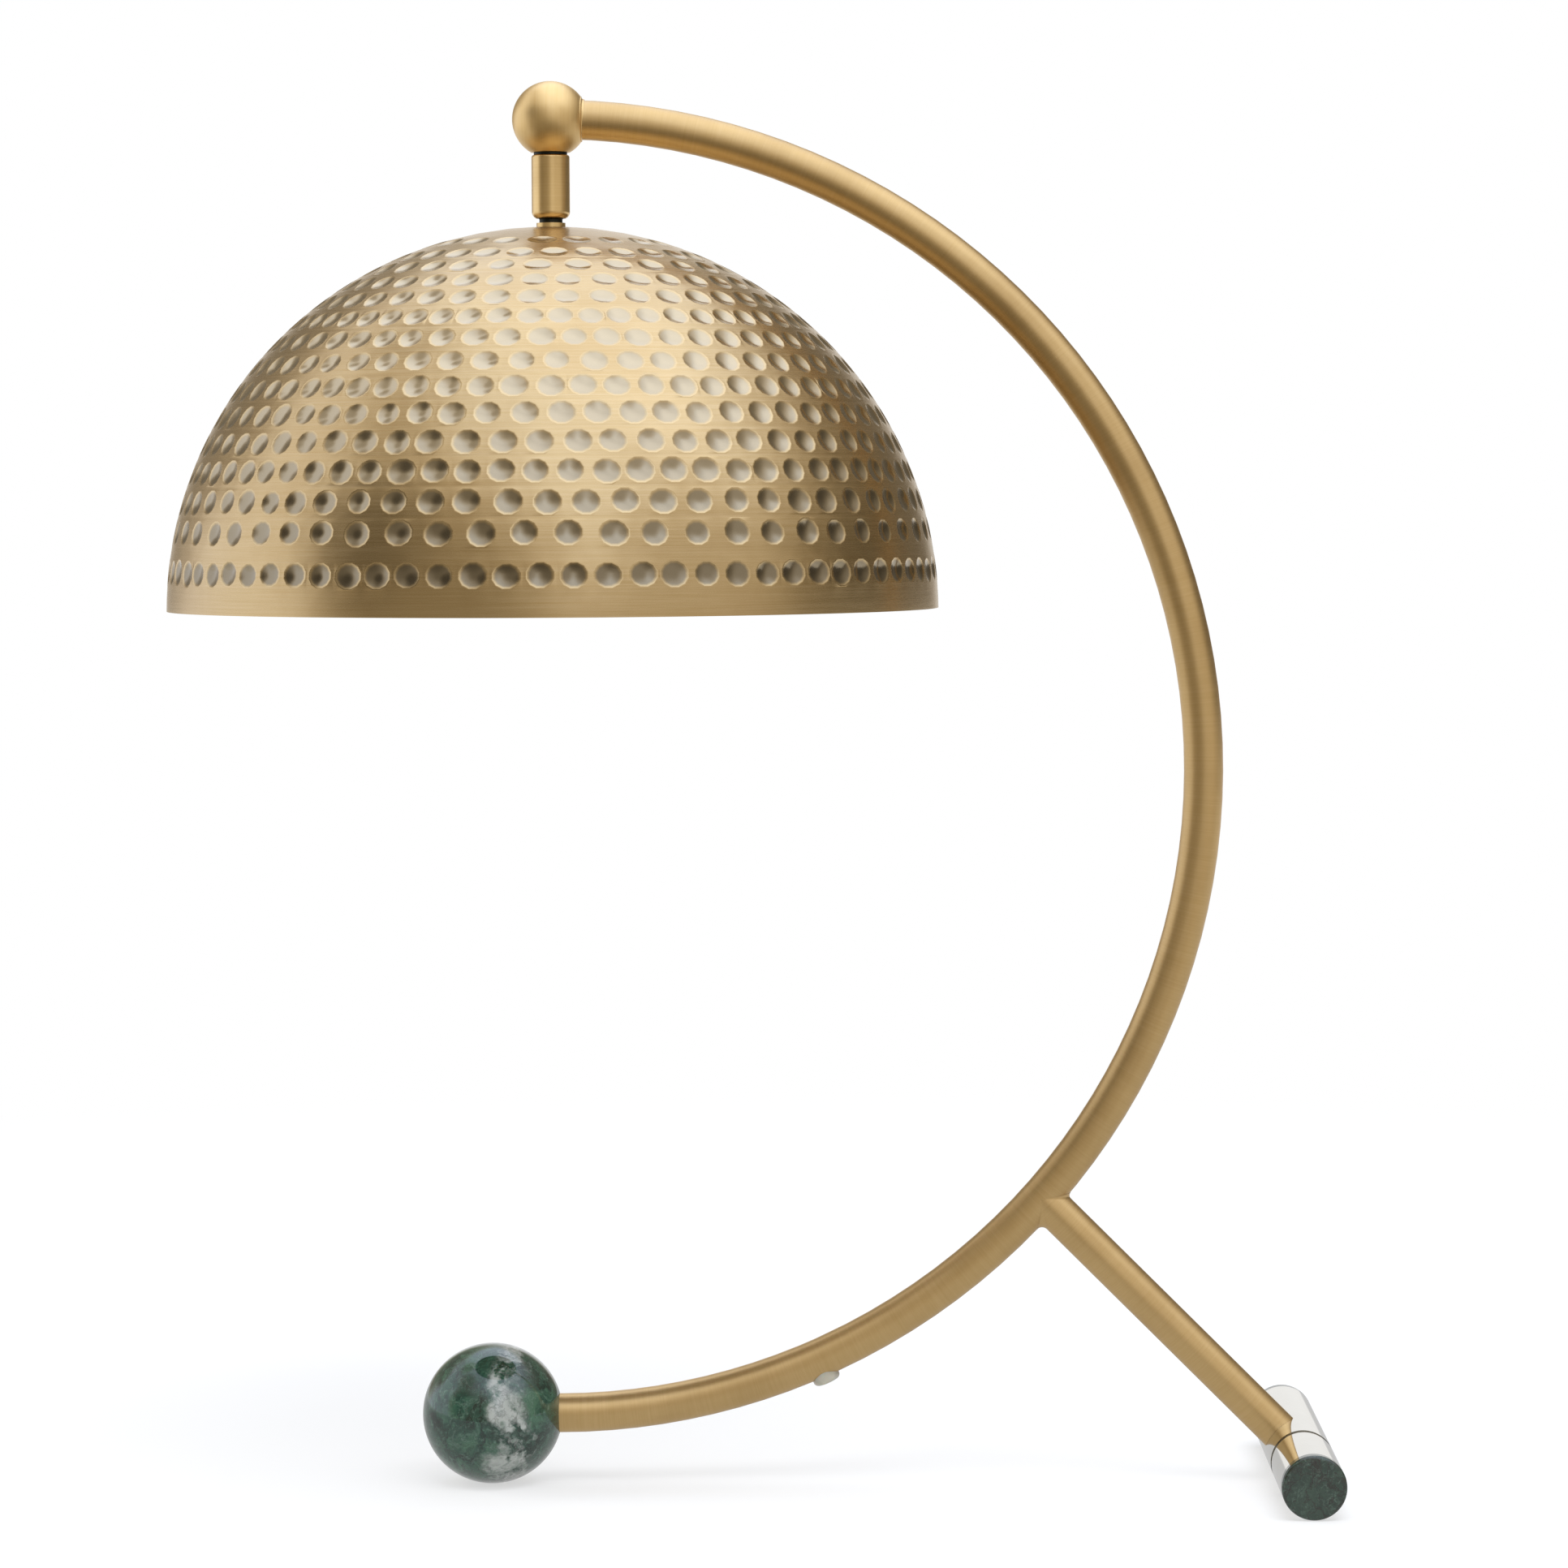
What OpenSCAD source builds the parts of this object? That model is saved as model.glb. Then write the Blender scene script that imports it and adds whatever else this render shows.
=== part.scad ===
// Arched task lamp: a C-shaped brass arm on a stone ball and a crossbar, with a hammered dome shade.
// Units are millimetres. Z is up and the lamp stands on z = 0.
// X runs from the shade towards the crossbar, and Y runs along the crossbar, away from the front.

/* [Arm] */
// Radius of the arm's centreline, a half circle
arc_r = 265; // [225:1:330]
// Outside diameter of the arm and leg tubes
tube_d = 16; // [13:0.5:20]
// Wall of the arm and leg tubes
tube_wall = 1.5; // [1:0.1:2]
// How far the arm stops short of the knuckle's centre
arm_stop = 6; // [5.5:0.5:8]

/* [Leg] */
// Height angle of the straight leg above the floor
leg_angle = 45; // [40:1:50]
// Length of the tapped plug in the leg's lower end
leg_plug_len = 22; // [14:1:30]
// Diameter of the screw that holds the leg
leg_screw_d = 6; // [4:0.5:7]
// Diameter of the leg screw's head
leg_screw_head_d = 10; // [9:0.5:12]
// Height of the leg screw's head
leg_screw_head_h = 5; // [4:0.5:6]

/* [Stone ball] */
// Diameter of the stone ball
ball_d = 57.6; // [50:0.2:70]
// Diameter of the flat ground under the ball
foot_d = 8; // [4:0.5:14]
// Diameter of the threaded stud that holds the ball
ball_stud_d = 8; // [5:0.5:8]
// Wall of the insert glued into the ball
insert_wall = 2.5; // [1.5:0.5:4]
// Length of the insert glued into the ball
insert_len = 18; // [12:1:24]
// Length of the plug in the arm's lower end
arm_plug_len = 16; // [10:1:24]

/* [Crossbar] */
// Distance from the shade's axis to the crossbar's axis
bar_x = 303.4; // [290:0.2:315]
// Diameter of the crossbar
bar_d = 26; // [24:0.5:30]
// Length of the solid centre piece
centre_len = 54; // [46:0.5:80]
// Length of each end sleeve
sleeve_len = 44; // [34:0.5:60]
// Wall of each end sleeve
sleeve_wall = 2.5; // [1.5:0.1:3]
// Thickness of the web inside each sleeve
web_t = 6; // [4:0.5:9]
// Width of the dark groove behind the front sleeve
groove_w = 4.2; // [1:0.1:6]
// Depth of the dark groove
groove_depth = 0.8; // [0.4:0.1:1.6]
// Thickness of each stone end disc
disc_t = 5; // [4:0.5:9]
// Rounding of each stone disc's edge
disc_round = 1.4; // [0.6:0.1:2]
// Length of the spigot behind each stone disc
spigot_len = 4; // [2:0.5:6]
// Diameter of the studs inside the crossbar
stud_d = 8; // [6:0.5:8]
// Depth of each stud in the centre piece
stud_depth = 18; // [14:1:20]
// Width across the flats of the stud nuts
stud_nut_af = 13; // [12:0.5:14]
// Height of the stud nuts
stud_nut_h = 6.5; // [4:0.5:8]
// Thickness of the washers under the stud nuts
stud_washer_t = 1.6; // [1:0.1:2.5]

/* [Cord bushing] */
// Angle of the bushing from straight down, about the arm's centre
bushing_angle = 23.7; // [16:0.1:30]
// Diameter of the bushing
bushing_d = 11.4; // [9:0.2:12]
// Bore for the cord
bushing_bore = 7; // [5:0.1:7.6]
// How far the bushing stands out of the tube
bushing_out = 2.4; // [2:0.1:6]
// How far the bushing reaches inside the tube's wall
bushing_in = 3; // [1.5:0.1:4]
// Rounding of the bushing's outer edge
bushing_round = 1.8; // [0.4:0.1:1.9]

/* [Knuckle] */
// Diameter of the knuckle ball at the top of the arm
knuckle_d = 31; // [28:0.5:38]
// Diameter of the flat under the knuckle
knuckle_flat_d = 16; // [15:0.5:18]
// Radius of the fillet where the tube meets the knuckle
knuckle_fillet = 1.2; // [0.6:0.1:2]
// Outside diameter of the hollow threaded nipple
nipple_d = 9.4; // [8:0.1:9.6]
// Bore of the nipple and of the shade's stud, for the wires
wire_bore = 6; // [4:0.1:6.4]
// Diameter of the dark washer between knuckle and stem
swivel_washer_d = 13.6; // [12.4:0.2:15]
// Thickness of the dark washer between knuckle and stem
swivel_washer_t = 1; // [0.6:0.1:2]

/* [Stem] */
// Outside diameter of the stem
stem_d = 15.5; // [15.2:0.1:18]
// Length of the stem
stem_len = 25.8; // [25:0.2:34]
// Rounding of the stem's top edge
stem_top_round = 1; // [0.4:0.1:1.1]
// Rounding of the stem's bottom edge
stem_bottom_round = 2.8; // [1.5:0.1:3]
// Diameter of the ball on the shade's stud
pivot_d = 13; // [12.6:0.1:13.2]
// Height of the pivot above the stem's lower end
pivot_h = 4.2; // [3.8:0.1:5]
// Largest tilt of the shade, either way
tilt_max = 15; // [8:1:16]
// Thickness of the cap screwed into the stem
stem_cap_t = 3; // [2:0.2:4]
// Thickness of the thrust washer inside the stem
thrust_washer_t = 0.8; // [0.5:0.1:1.2]
// Height of the slotted nut on the nipple
ring_nut_h = 3.6; // [3:0.2:4]
// Thickness of the threaded ring that loads the springs
load_ring_t = 2.2; // [1.6:0.2:2.6]
// Height of one disc spring
disc_spring_h = 0.9; // [0.6:0.1:1]
// Thickness of one disc spring
disc_spring_t = 0.4; // [0.3:0.05:0.5]

/* [Shade] */
// Diameter of the shade at its rim
shade_d = 314; // [280:1:330]
// Height of the shade from its rim to its flat top
shade_h = 155; // [146:1:156]
// Wall of the shade
shade_wall = 1.2; // [0.8:0.1:2]
// Diameter of the small flat on top of the shade
shade_land_d = 14; // [13:0.5:20]
// Diameter of the shade's stud below its ball
shank_d = 9.4; // [8:0.1:9.6]
// Bare length of the stud between stem and collar
neck_show = 1.7; // [1.5:0.1:4]
// Diameter of the collar on top of the shade
collar_d = 11.8; // [11.4:0.1:13]
// Height of the collar on top of the shade
collar_h = 1.7; // [1:0.1:3]
// Diameter of the washer inside the shade
shade_washer_d = 32; // [22:1:40]
// Thickness of the washer inside the shade
shade_washer_t = 1.8; // [1:0.1:3]
// Width across the flats of the nut inside the shade
shade_nut_af = 14; // [13:0.5:17]
// Height of the nut inside the shade
shade_nut_h = 3; // [2.4:0.2:5]

/* [Socket] */
// Outside diameter of the socket's cap
socket_cap_d = 35; // [34:0.5:38]
// Height of the socket's cap
socket_cap_h = 16; // [14:0.5:20]
// Wall of the socket's metal cap and shell
socket_wall = 0.8; // [0.5:0.1:1]
// Height of the threaded hub in the socket's cap
hub_h = 7; // [5:0.5:7.5]
// How far the shell reaches up into the cap
shell_lap = 7; // [4:0.5:7.5]
// Length of the socket's shell
shell_len = 43; // [42:0.5:50]
// Wall of the insulating liner in the shell
liner_wall = 0.8; // [0.5:0.1:1]
// Height of the insulating switch block
block_h = 17; // [13.5:0.5:17]
// Length of the threaded bulb holder
holder_len = 24; // [23:0.5:25]
// Wall of the threaded bulb holder
holder_wall = 0.5; // [0.3:0.1:0.6]
// Diameter of the switch's shaft
knob_shaft_d = 4; // [3:0.2:5]
// How far the shaft stands out of the shell
knob_reach = 12; // [10:0.5:20]
// Diameter of the switch's knob
knob_d = 13; // [9:0.5:15]
// Length of the switch's knob
knob_len = 9; // [6:0.5:10]
// Number of grip flutes around the knob
knob_flutes = 12; // [6:1:16]

/* [Bulb] */
// Diameter of the bulb's globe
globe_d = 55; // [45:1:64]
// Wall of the bulb's glass
glass_wall = 0.8; // [0.5:0.1:1.2]
// Diameter of the bulb's screw cap
bulb_cap_d = 26; // [25.6:0.1:26.2]
// Length of the bulb's screw cap
bulb_cap_len = 18; // [14:0.5:19]

/* [Fits] */
// Clearance all round between parts that are fixed to each other
fit = 0.05; // [0.02:0.01:0.1]
// Clearance all round between parts that turn in each other
run_fit = 0.05; // [0.03:0.01:0.1]
// Clearance all round between a screw and its clearance hole
screw_gap = 0.3; // [0.2:0.05:0.5]

/* [Hidden] */
$fn = 96;
// Length by which a cutting shape passes the face that it cuts
over = 1;

tube_r = tube_d / 2;
bore_r = tube_r - tube_wall;
ball_r = ball_d / 2;
bar_r = bar_d / 2;
foot_r = foot_d / 2;

// Margin of the ball's flat seat around the arm, and gap around the bushing in the arm's hole
seat_margin = 0.2;
bushing_gap = 0.2;

// The ball stands on its ground flat, and the arm's lower end is level with the ball's centre
ball_z = sqrt(ball_r * ball_r - foot_r * foot_r);
arc_z = ball_z + arc_r;
seat_r = tube_r + seat_margin;
seat_reach = sqrt(ball_r * ball_r - seat_r * seat_r);
ball_x = -seat_reach - fit;

// The arm ends inside the knuckle, which is centred on the top of the half circle
arm_top_angle = 90 - asin(arm_stop / arc_r);
arm_plug_angle = arm_plug_len / arc_r * 180 / PI;
arm_end_gap = 2 * fit / arc_r * 180 / PI;
knuckle_r = knuckle_d / 2;
knuckle_z = arc_z + arc_r;
knuckle_flat_drop = sqrt(knuckle_r * knuckle_r - pow(knuckle_flat_d / 2, 2));

// The leg runs from the crossbar's axis up to the arm's centreline
leg_dir = [-cos(leg_angle), sin(leg_angle)];
bar_to_centre = [bar_x, bar_r - arc_z];
leg_mid = -(bar_to_centre * leg_dir);
leg_len = leg_mid - sqrt(leg_mid * leg_mid - bar_to_centre * bar_to_centre + arc_r * arc_r);

// The front sleeve stands off by the groove, and the rear sleeve sits tight on the centre piece
function sleeve_start(side) = centre_len / 2 + (side < 0 ? groove_w : 0);
// Each crossbar stud passes a little beyond its nut
stud_tail = 1.5;
stud_end = web_t + stud_washer_t + stud_nut_h + stud_tail;

// The stem hangs below the knuckle, and the pivot sits in its lower end
stem_r = stem_d / 2;
stem_top_z = knuckle_z - knuckle_flat_drop - swivel_washer_t - 2 * fit;
stem_z = stem_top_z - stem_len;
pivot_r = pivot_d / 2;
pivot_z = stem_z + pivot_h;
stem_bore_r = pivot_r + run_fit;
shank_r = shank_d / 2;
mouth_r = shank_r / cos(tilt_max) + pivot_h * tan(tilt_max) + 2 * run_fit;
stem_cap_z = stem_top_z - stem_cap_t;
thrust_washer_z = stem_cap_z - fit - thrust_washer_t;
ring_nut_z = thrust_washer_z - fit - ring_nut_h;
nipple_z = ring_nut_z - fit;
load_ring_z = nipple_z - 4 * run_fit - load_ring_t;
seat_top_z = load_ring_z - 2 * disc_spring_h - 2 * fit;
inner_disc_r = stem_bore_r - run_fit;
nut_r = inner_disc_r - 0.4;
load_ring_wall = 2.2;
spring_r = inner_disc_r - 0.3;
spring_width = 1.9;
slot_w = 1.6;
seat_low_z = pivot_z + 0.6;
seat_bore_r = wire_bore / 2 + 1.4;

// The shade hangs below the stem: a ball cap with a small flat on top, down to its rim
shade_top_z = stem_z - neck_show - collar_h;
shade_r = shade_d / 2;
land_r = shade_land_d / 2;
rim_z = shade_top_z - shade_h;
dome_lift = (land_r * land_r + shade_h * shade_h - shade_r * shade_r) / (2 * shade_h);
dome_r = sqrt(shade_r * shade_r + dome_lift * dome_lift);
dome_z = rim_z + dome_lift;
dome_in_r = dome_r - shade_wall;
shade_washer_r = shade_washer_d / 2;
washer_edge_z = dome_z + sqrt(pow(dome_in_r - fit, 2) - shade_washer_r * shade_washer_r);
shade_washer_z = washer_edge_z - shade_washer_t / 2;
shade_nut_z = shade_washer_z - fit - shade_nut_h;

// The socket hangs on the shade's stud
cap_top_z = shade_nut_z - fit;
cap_r = socket_cap_d / 2;
cap_z = cap_top_z - socket_cap_h;
cap_in_r = cap_r - socket_wall;
shank_z = cap_top_z - socket_wall - hub_h;
hub_r = shank_r + 2.4;
cap_shoulder = 6;
shell_r = cap_in_r - fit;
shell_top_z = cap_z + shell_lap;
shell_z = shell_top_z - shell_len;
shell_in_r = shell_r - socket_wall;
liner_r = shell_in_r - fit;
liner_in_r = liner_r - liner_wall;
holder_top_z = shell_z + holder_len;
block_z = holder_top_z + fit;
block_r = liner_in_r - fit;
holder_in_r = bulb_cap_d / 2 + 2 * fit;
holder_r = holder_in_r + holder_wall;
holder_top_t = 1;
block_round = 1.5;
knob_z = cap_z - knob_shaft_d / 2 - screw_gap - over;
knob_shaft_r = knob_shaft_d / 2;
knob_seat = 8;
knob_round = 1.5;
knob_edge = 0.8;
knob_floor = 2;
flute_r = knob_d / 12;

// The bulb is screwed into the holder until its tip meets the centre contact
globe_r = globe_d / 2;
bulb_neck_r = 13.4;
neck_tangent = 30;
bulb_neck_z = shell_z - 2 * fit;
globe_cut_h = globe_r * sin(neck_tangent);
globe_cut_r = globe_r * cos(neck_tangent);
neck_rise = globe_cut_h + (globe_cut_r - bulb_neck_r) / tan(neck_tangent);
bulb_neck_h = 2;
globe_z = bulb_neck_z - fit - bulb_neck_h - neck_rise;
bulb_cap_top_z = bulb_neck_z + bulb_cap_len;
bulb_cap_shoulder = 2.5;
tip_r = 4.6;
tip_h = 3;
tip_round = 1.2;
contact_r = 4;
contact_z = bulb_cap_top_z + tip_h + fit;

// The lamp's frame has its origin on the floor under the middle of the whole lamp
origin_x = (shade_r - bar_x - bar_r) / 2;

brass = "#a8884f";
dark_brass = "#6e5a36";
nickel = "#cfd0cd";
stone = "#2f4a3c";
steel = "#8d9093";
dark_steel = "#3a3c3a";
phenolic = "#2b2622";
plastic = "#c9c3b2";
opal = "#f4f1e8";

module placed() {
    translate([origin_x, 0, 0])
        children();
}

// Stretch of the arm's half circle with a round section, between two height angles
module arc_rod(r, low, high) {
    translate([0, 0, arc_z])
        rotate([90, 0, 0])
            rotate([0, 0, low])
                rotate_extrude(angle = high - low, $fn = 180)
                    translate([arc_r, 0])
                        circle(r = r);
}

// Moves to the crossbar's middle, with Z up along the leg
module on_leg(along = 0) {
    translate([bar_x, 0, bar_r])
        rotate([0, leg_angle - 90, 0])
            translate([0, 0, along])
                children();
}

// Moves to the arm's centreline at the cord bushing, with Z out of the tube
module on_bushing(out = 0) {
    translate([0, 0, arc_z])
        rotate([0, 180 - bushing_angle, 0])
            translate([0, 0, arc_r + out])
                children();
}

// Moves to the crossbar's axis at a distance from its middle, with Z out to the end
module on_bar(side, out) {
    translate([bar_x, side * out, bar_r])
        rotate([side * -90, 0, 0])
            children();
}

module pipe(r_out, r_in, h) {
    difference() {
        cylinder(r = r_out, h = h);
        translate([0, 0, -over])
            cylinder(r = r_in, h = h + 2 * over);
    }
}

// Rod with rounded edges at its lower and upper ends
module round_rod(r, h, low_e = 0, high_e = 0) {
    rotate_extrude() {
        translate([0, low_e])
            square([r, h - low_e - high_e]);
        square([r - low_e, h - high_e]);
        translate([0, low_e])
            square([r - high_e, h - low_e]);
        if (low_e > 0)
            translate([r - low_e, low_e])
                edge_circle(low_e);
        if (high_e > 0)
            translate([r - high_e, h - high_e])
                edge_circle(high_e);
    }
}

module edge_circle(r) {
    circle(r = r, $fn = 48);
}

module hex_nut(af, h, hole_r) {
    difference() {
        cylinder(r = af / 2 / cos(30), h = h, $fn = 6);
        translate([0, 0, -over])
            cylinder(r = hole_r, h = h + 2 * over);
    }
}

module arm_tube() {
    color(brass)
        placed()
            difference() {
                arc_rod(tube_r, -90, arm_top_angle);
                arc_rod(bore_r, -91, arm_top_angle + 1);
                on_bushing()
                    cylinder(r = bushing_d / 2 + bushing_gap, h = tube_r + over);
            }
}

module leg_tube() {
    color(brass)
        placed()
            difference() {
                on_leg()
                    pipe(tube_r, bore_r, leg_len);
                arc_rod(tube_r + fit / 2, -75, -15);
                on_bar(1, -centre_len / 2)
                    cylinder(r = bar_r + fit / 2, h = centre_len);
            }
}

module leg_plug() {
    color(steel)
        placed()
            difference() {
                on_leg()
                    pipe(bore_r - fit, leg_screw_d / 2 + fit, bar_r + leg_plug_len);
                on_bar(1, -centre_len / 2)
                    cylinder(r = bar_r + fit, h = centre_len);
            }
}

// Leg screw's head rests on the counterbore's floor on the far side of the crossbar
module leg_screw() {
    head_z = -bar_r / 2;
    color(dark_steel)
        placed()
            difference() {
                union() {
                    on_leg(head_z)
                        cylinder(r = leg_screw_d / 2, h = bar_r * 1.5 + leg_plug_len - over);
                    on_leg(head_z - leg_screw_head_h)
                        cylinder(r = leg_screw_head_d / 2, h = leg_screw_head_h);
                }
                on_leg(head_z - leg_screw_head_h - over)
                    cylinder(r = leg_screw_head_d / 4, h = leg_screw_head_h * 0.6 + over, $fn = 6);
            }
}

module stone_ball() {
    insert_r = ball_stud_d / 2 + insert_wall;
    color(stone)
        placed()
            translate([ball_x, 0, ball_z])
                difference() {
                    sphere(r = ball_r, $fn = 128);
                    translate([-ball_r, -ball_r, -ball_r - ball_z])
                        cube([ball_d, ball_d, ball_r]);
                    translate([seat_reach, -ball_r, -ball_r])
                        cube([ball_r, ball_d, ball_d]);
                    translate([seat_reach - insert_len - fit, 0, 0])
                        rotate([0, 90, 0])
                            cylinder(r = insert_r + fit, h = insert_len + over);
                }
}

module ball_insert() {
    color(dark_brass)
        placed()
            translate([-insert_len - fit, 0, ball_z])
                rotate([0, 90, 0])
                    pipe(ball_stud_d / 2 + insert_wall, ball_stud_d / 2 + fit, insert_len);
}

module ball_stud() {
    color(steel)
        placed()
            translate([over - insert_len, 0, ball_z])
                rotate([0, 90, 0])
                    cylinder(r = ball_stud_d / 2, h = insert_len + arm_plug_len - 2 * over);
}

module arm_plug() {
    color(steel)
        placed()
            difference() {
                arc_rod(bore_r - fit, -90, -90 + arm_plug_angle);
                translate([-over, 0, ball_z])
                    rotate([0, 90, 0])
                        cylinder(r = ball_stud_d / 2 + fit, h = arm_plug_len + 3 * over);
            }
}

module cord_bushing() {
    color(plastic)
        placed()
            on_bushing(bore_r - bushing_in)
                difference() {
                    round_rod(bushing_d / 2, bushing_in + tube_wall + bushing_out, 0, bushing_round);
                    translate([0, 0, -over])
                        cylinder(r = bushing_bore / 2, h = bushing_in + tube_wall + bushing_out + 2 * over);
                }
}

module crossbar_centre() {
    head_r = leg_screw_head_d / 2 + screw_gap;
    color(nickel)
        placed()
            difference() {
                on_bar(1, -centre_len / 2)
                    cylinder(r = bar_r, h = centre_len);
                for (side = [-1, 1])
                    on_bar(side, centre_len / 2 - stud_depth)
                        cylinder(r = stud_d / 2 + fit, h = stud_depth + over);
                on_leg(-bar_r - over)
                    cylinder(r = head_r, h = bar_r / 2 + over + fit);
                on_leg(-bar_r)
                    cylinder(r = leg_screw_d / 2 + screw_gap, h = bar_d + over);
            }
}

module sleeve(side) {
    sleeve_in_r = bar_r - sleeve_wall;
    color(nickel)
        placed()
            on_bar(side, sleeve_start(side))
                difference() {
                    cylinder(r = bar_r, h = sleeve_len);
                    translate([0, 0, web_t])
                        cylinder(r = sleeve_in_r, h = sleeve_len);
                    translate([0, 0, -over])
                        cylinder(r = stud_d / 2 + screw_gap, h = sleeve_len);
                }
}

module front_spacer() {
    color(dark_brass)
        placed()
            on_bar(-1, centre_len / 2)
                pipe(bar_r - groove_depth, stud_d / 2 + screw_gap, groove_w);
}

module bar_stud(side) {
    color(steel)
        placed()
            on_bar(side, centre_len / 2 - stud_depth + fit)
                cylinder(r = stud_d / 2, h = sleeve_start(side) + stud_end - centre_len / 2 + stud_depth);
}

module stud_washers() {
    color(steel)
        placed()
            for (side = [-1, 1])
                on_bar(side, sleeve_start(side) + web_t)
                    pipe(stud_d, stud_d / 2 + screw_gap, stud_washer_t);
}

module stud_nuts() {
    color(steel)
        placed()
            for (side = [-1, 1])
                on_bar(side, sleeve_start(side) + web_t + stud_washer_t)
                    hex_nut(stud_nut_af, stud_nut_h, stud_d / 2 + fit);
}

module stone_disc(side) {
    color(stone)
        placed()
            on_bar(side, sleeve_start(side) + sleeve_len)
                union() {
                    round_rod(bar_r, disc_t, 0, disc_round);
                    translate([0, 0, -spigot_len])
                        cylinder(r = bar_r - sleeve_wall - fit, h = spigot_len + over);
                }
}

// Half outline of the knuckle about the arm's axis: a ball with a fillet where the tube enters
module knuckle_outline() {
    fillet_rise = sqrt(pow(knuckle_r + knuckle_fillet, 2) - pow(tube_r + knuckle_fillet, 2));
    intersection() {
        circle(r = knuckle_r, $fn = 128);
        translate([0, -knuckle_r])
            square([knuckle_r, knuckle_d]);
    }
    difference() {
        square([tube_r + knuckle_fillet, fillet_rise]);
        translate([tube_r + knuckle_fillet, fillet_rise])
            circle(r = knuckle_fillet);
    }
}

// Ball with a flat below, a socket for the arm and a tapped bore for the nipple
module knuckle_ball() {
    color(brass)
        placed()
            difference() {
                translate([0, 0, knuckle_z])
                    rotate([0, 90, 0])
                        rotate_extrude()
                            knuckle_outline();
                translate([-knuckle_d, -knuckle_d, knuckle_z - knuckle_flat_drop - knuckle_d])
                    cube([2 * knuckle_d, 2 * knuckle_d, knuckle_d]);
                arc_rod(tube_r + fit, 80, arm_top_angle + arm_end_gap);
                translate([0, 0, knuckle_z])
                    rotate([0, 90, 0])
                        cylinder(r = wire_bore / 2 + over, h = arm_stop + over);
                translate([0, 0, knuckle_z - knuckle_r])
                    cylinder(r = nipple_d / 2 + fit, h = knuckle_r + nipple_d / 2);
            }
}

module knuckle_nipple() {
    nipple_top_z = knuckle_z - nipple_d / 2;
    color(steel)
        placed()
            translate([0, 0, nipple_z])
                pipe(nipple_d / 2, wire_bore / 2, nipple_top_z - nipple_z);
}

module swivel_washer() {
    color(dark_steel)
        placed()
            translate([0, 0, stem_top_z + fit])
                pipe(swivel_washer_d / 2, nipple_d / 2 + run_fit, swivel_washer_t);
}

module thrust_washer() {
    color(steel)
        placed()
            translate([0, 0, thrust_washer_z])
                pipe(nut_r, nipple_d / 2 + fit, thrust_washer_t);
}

module ring_nut() {
    color(steel)
        placed()
            translate([0, 0, ring_nut_z])
                difference() {
                    pipe(nut_r, nipple_d / 2 + fit, ring_nut_h);
                    translate([-nut_r - over, -slot_w / 2, -over])
                        cube([2 * (nut_r + over), slot_w, over + ring_nut_h / 3]);
                }
}

// Stem with a spherical seat and a mouth that lets the stud tilt
module stem_housing() {
    color(brass)
        placed()
            difference() {
                translate([0, 0, stem_z])
                    round_rod(stem_r, stem_len, stem_bottom_round, stem_top_round);
                translate([0, 0, pivot_z]) {
                    sphere(r = stem_bore_r);
                    cylinder(r = stem_bore_r, h = stem_len);
                    translate([0, 0, -pivot_h - over])
                        cylinder(r = mouth_r, h = pivot_h + over);
                }
            }
}

module stem_cap() {
    color(dark_brass)
        placed()
            translate([0, 0, stem_cap_z])
                pipe(stem_bore_r - fit, nipple_d / 2 + run_fit, stem_cap_t);
}

module load_ring() {
    ring_r = stem_bore_r - fit;
    color(steel)
        placed()
            translate([0, 0, load_ring_z])
                difference() {
                    pipe(ring_r, ring_r - load_ring_wall, load_ring_t);
                    translate([-ring_r - over, -slot_w / 2, load_ring_t / 2])
                        cube([2 * (ring_r + over), slot_w, load_ring_t]);
                }
}

// Two coned disc springs, set rim to rim
module disc_springs() {
    spring_in_r = spring_r - spring_width;
    cone = disc_spring_h - disc_spring_t;
    color(steel)
        placed()
            translate([0, 0, seat_top_z + fit])
                for (turn = [0, 1])
                    translate([0, 0, disc_spring_h])
                        mirror([0, 0, turn])
                            rotate_extrude()
                                polygon([
                                    [spring_r, turn * fit / 2],
                                    [spring_r, disc_spring_t],
                                    [spring_in_r, disc_spring_h],
                                    [spring_in_r, cone]
                                ]);
}

module pivot_seat() {
    color(plastic)
        placed()
            difference() {
                translate([0, 0, seat_low_z])
                    pipe(inner_disc_r, seat_bore_r, seat_top_z - seat_low_z);
                translate([0, 0, pivot_z])
                    sphere(r = pivot_r + run_fit);
            }
}

// Hollow stud with the ball that the shade tilts on
module pivot_stud() {
    color(dark_steel)
        placed()
            difference() {
                union() {
                    translate([0, 0, pivot_z])
                        sphere(r = pivot_r);
                    translate([0, 0, shank_z])
                        cylinder(r = shank_r, h = pivot_z - shank_z);
                }
                translate([0, 0, shank_z - over])
                    cylinder(r = wire_bore / 2, h = pivot_z + pivot_r - shank_z + 2 * over);
            }
}

module shade_collar() {
    color(brass)
        placed()
            translate([0, 0, shade_top_z])
                pipe(collar_d / 2, shank_r + fit, collar_h);
}

module dome_shade() {
    color(brass)
        placed()
            difference() {
                translate([0, 0, dome_z])
                    difference() {
                        sphere(r = dome_r, $fn = 180);
                        sphere(r = dome_in_r, $fn = 180);
                    }
                translate([-shade_d, -shade_d, rim_z - 2 * shade_d])
                    cube(2 * shade_d);
                translate([-land_r - over, -land_r - over, shade_top_z])
                    cube(2 * (land_r + over));
                translate([0, 0, rim_z])
                    cylinder(r = shank_r + fit, h = shade_h + over);
            }
}

// Dished washer that follows the inside of the shade
module shade_washer() {
    color(steel)
        placed()
            translate([0, 0, dome_z])
                rotate_extrude()
                    intersection() {
                        circle(r = dome_in_r - fit, $fn = 360);
                        translate([shank_r + fit, shade_washer_z - dome_z])
                            square([shade_washer_r - shank_r - fit, shade_washer_r]);
                    }
}

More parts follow.
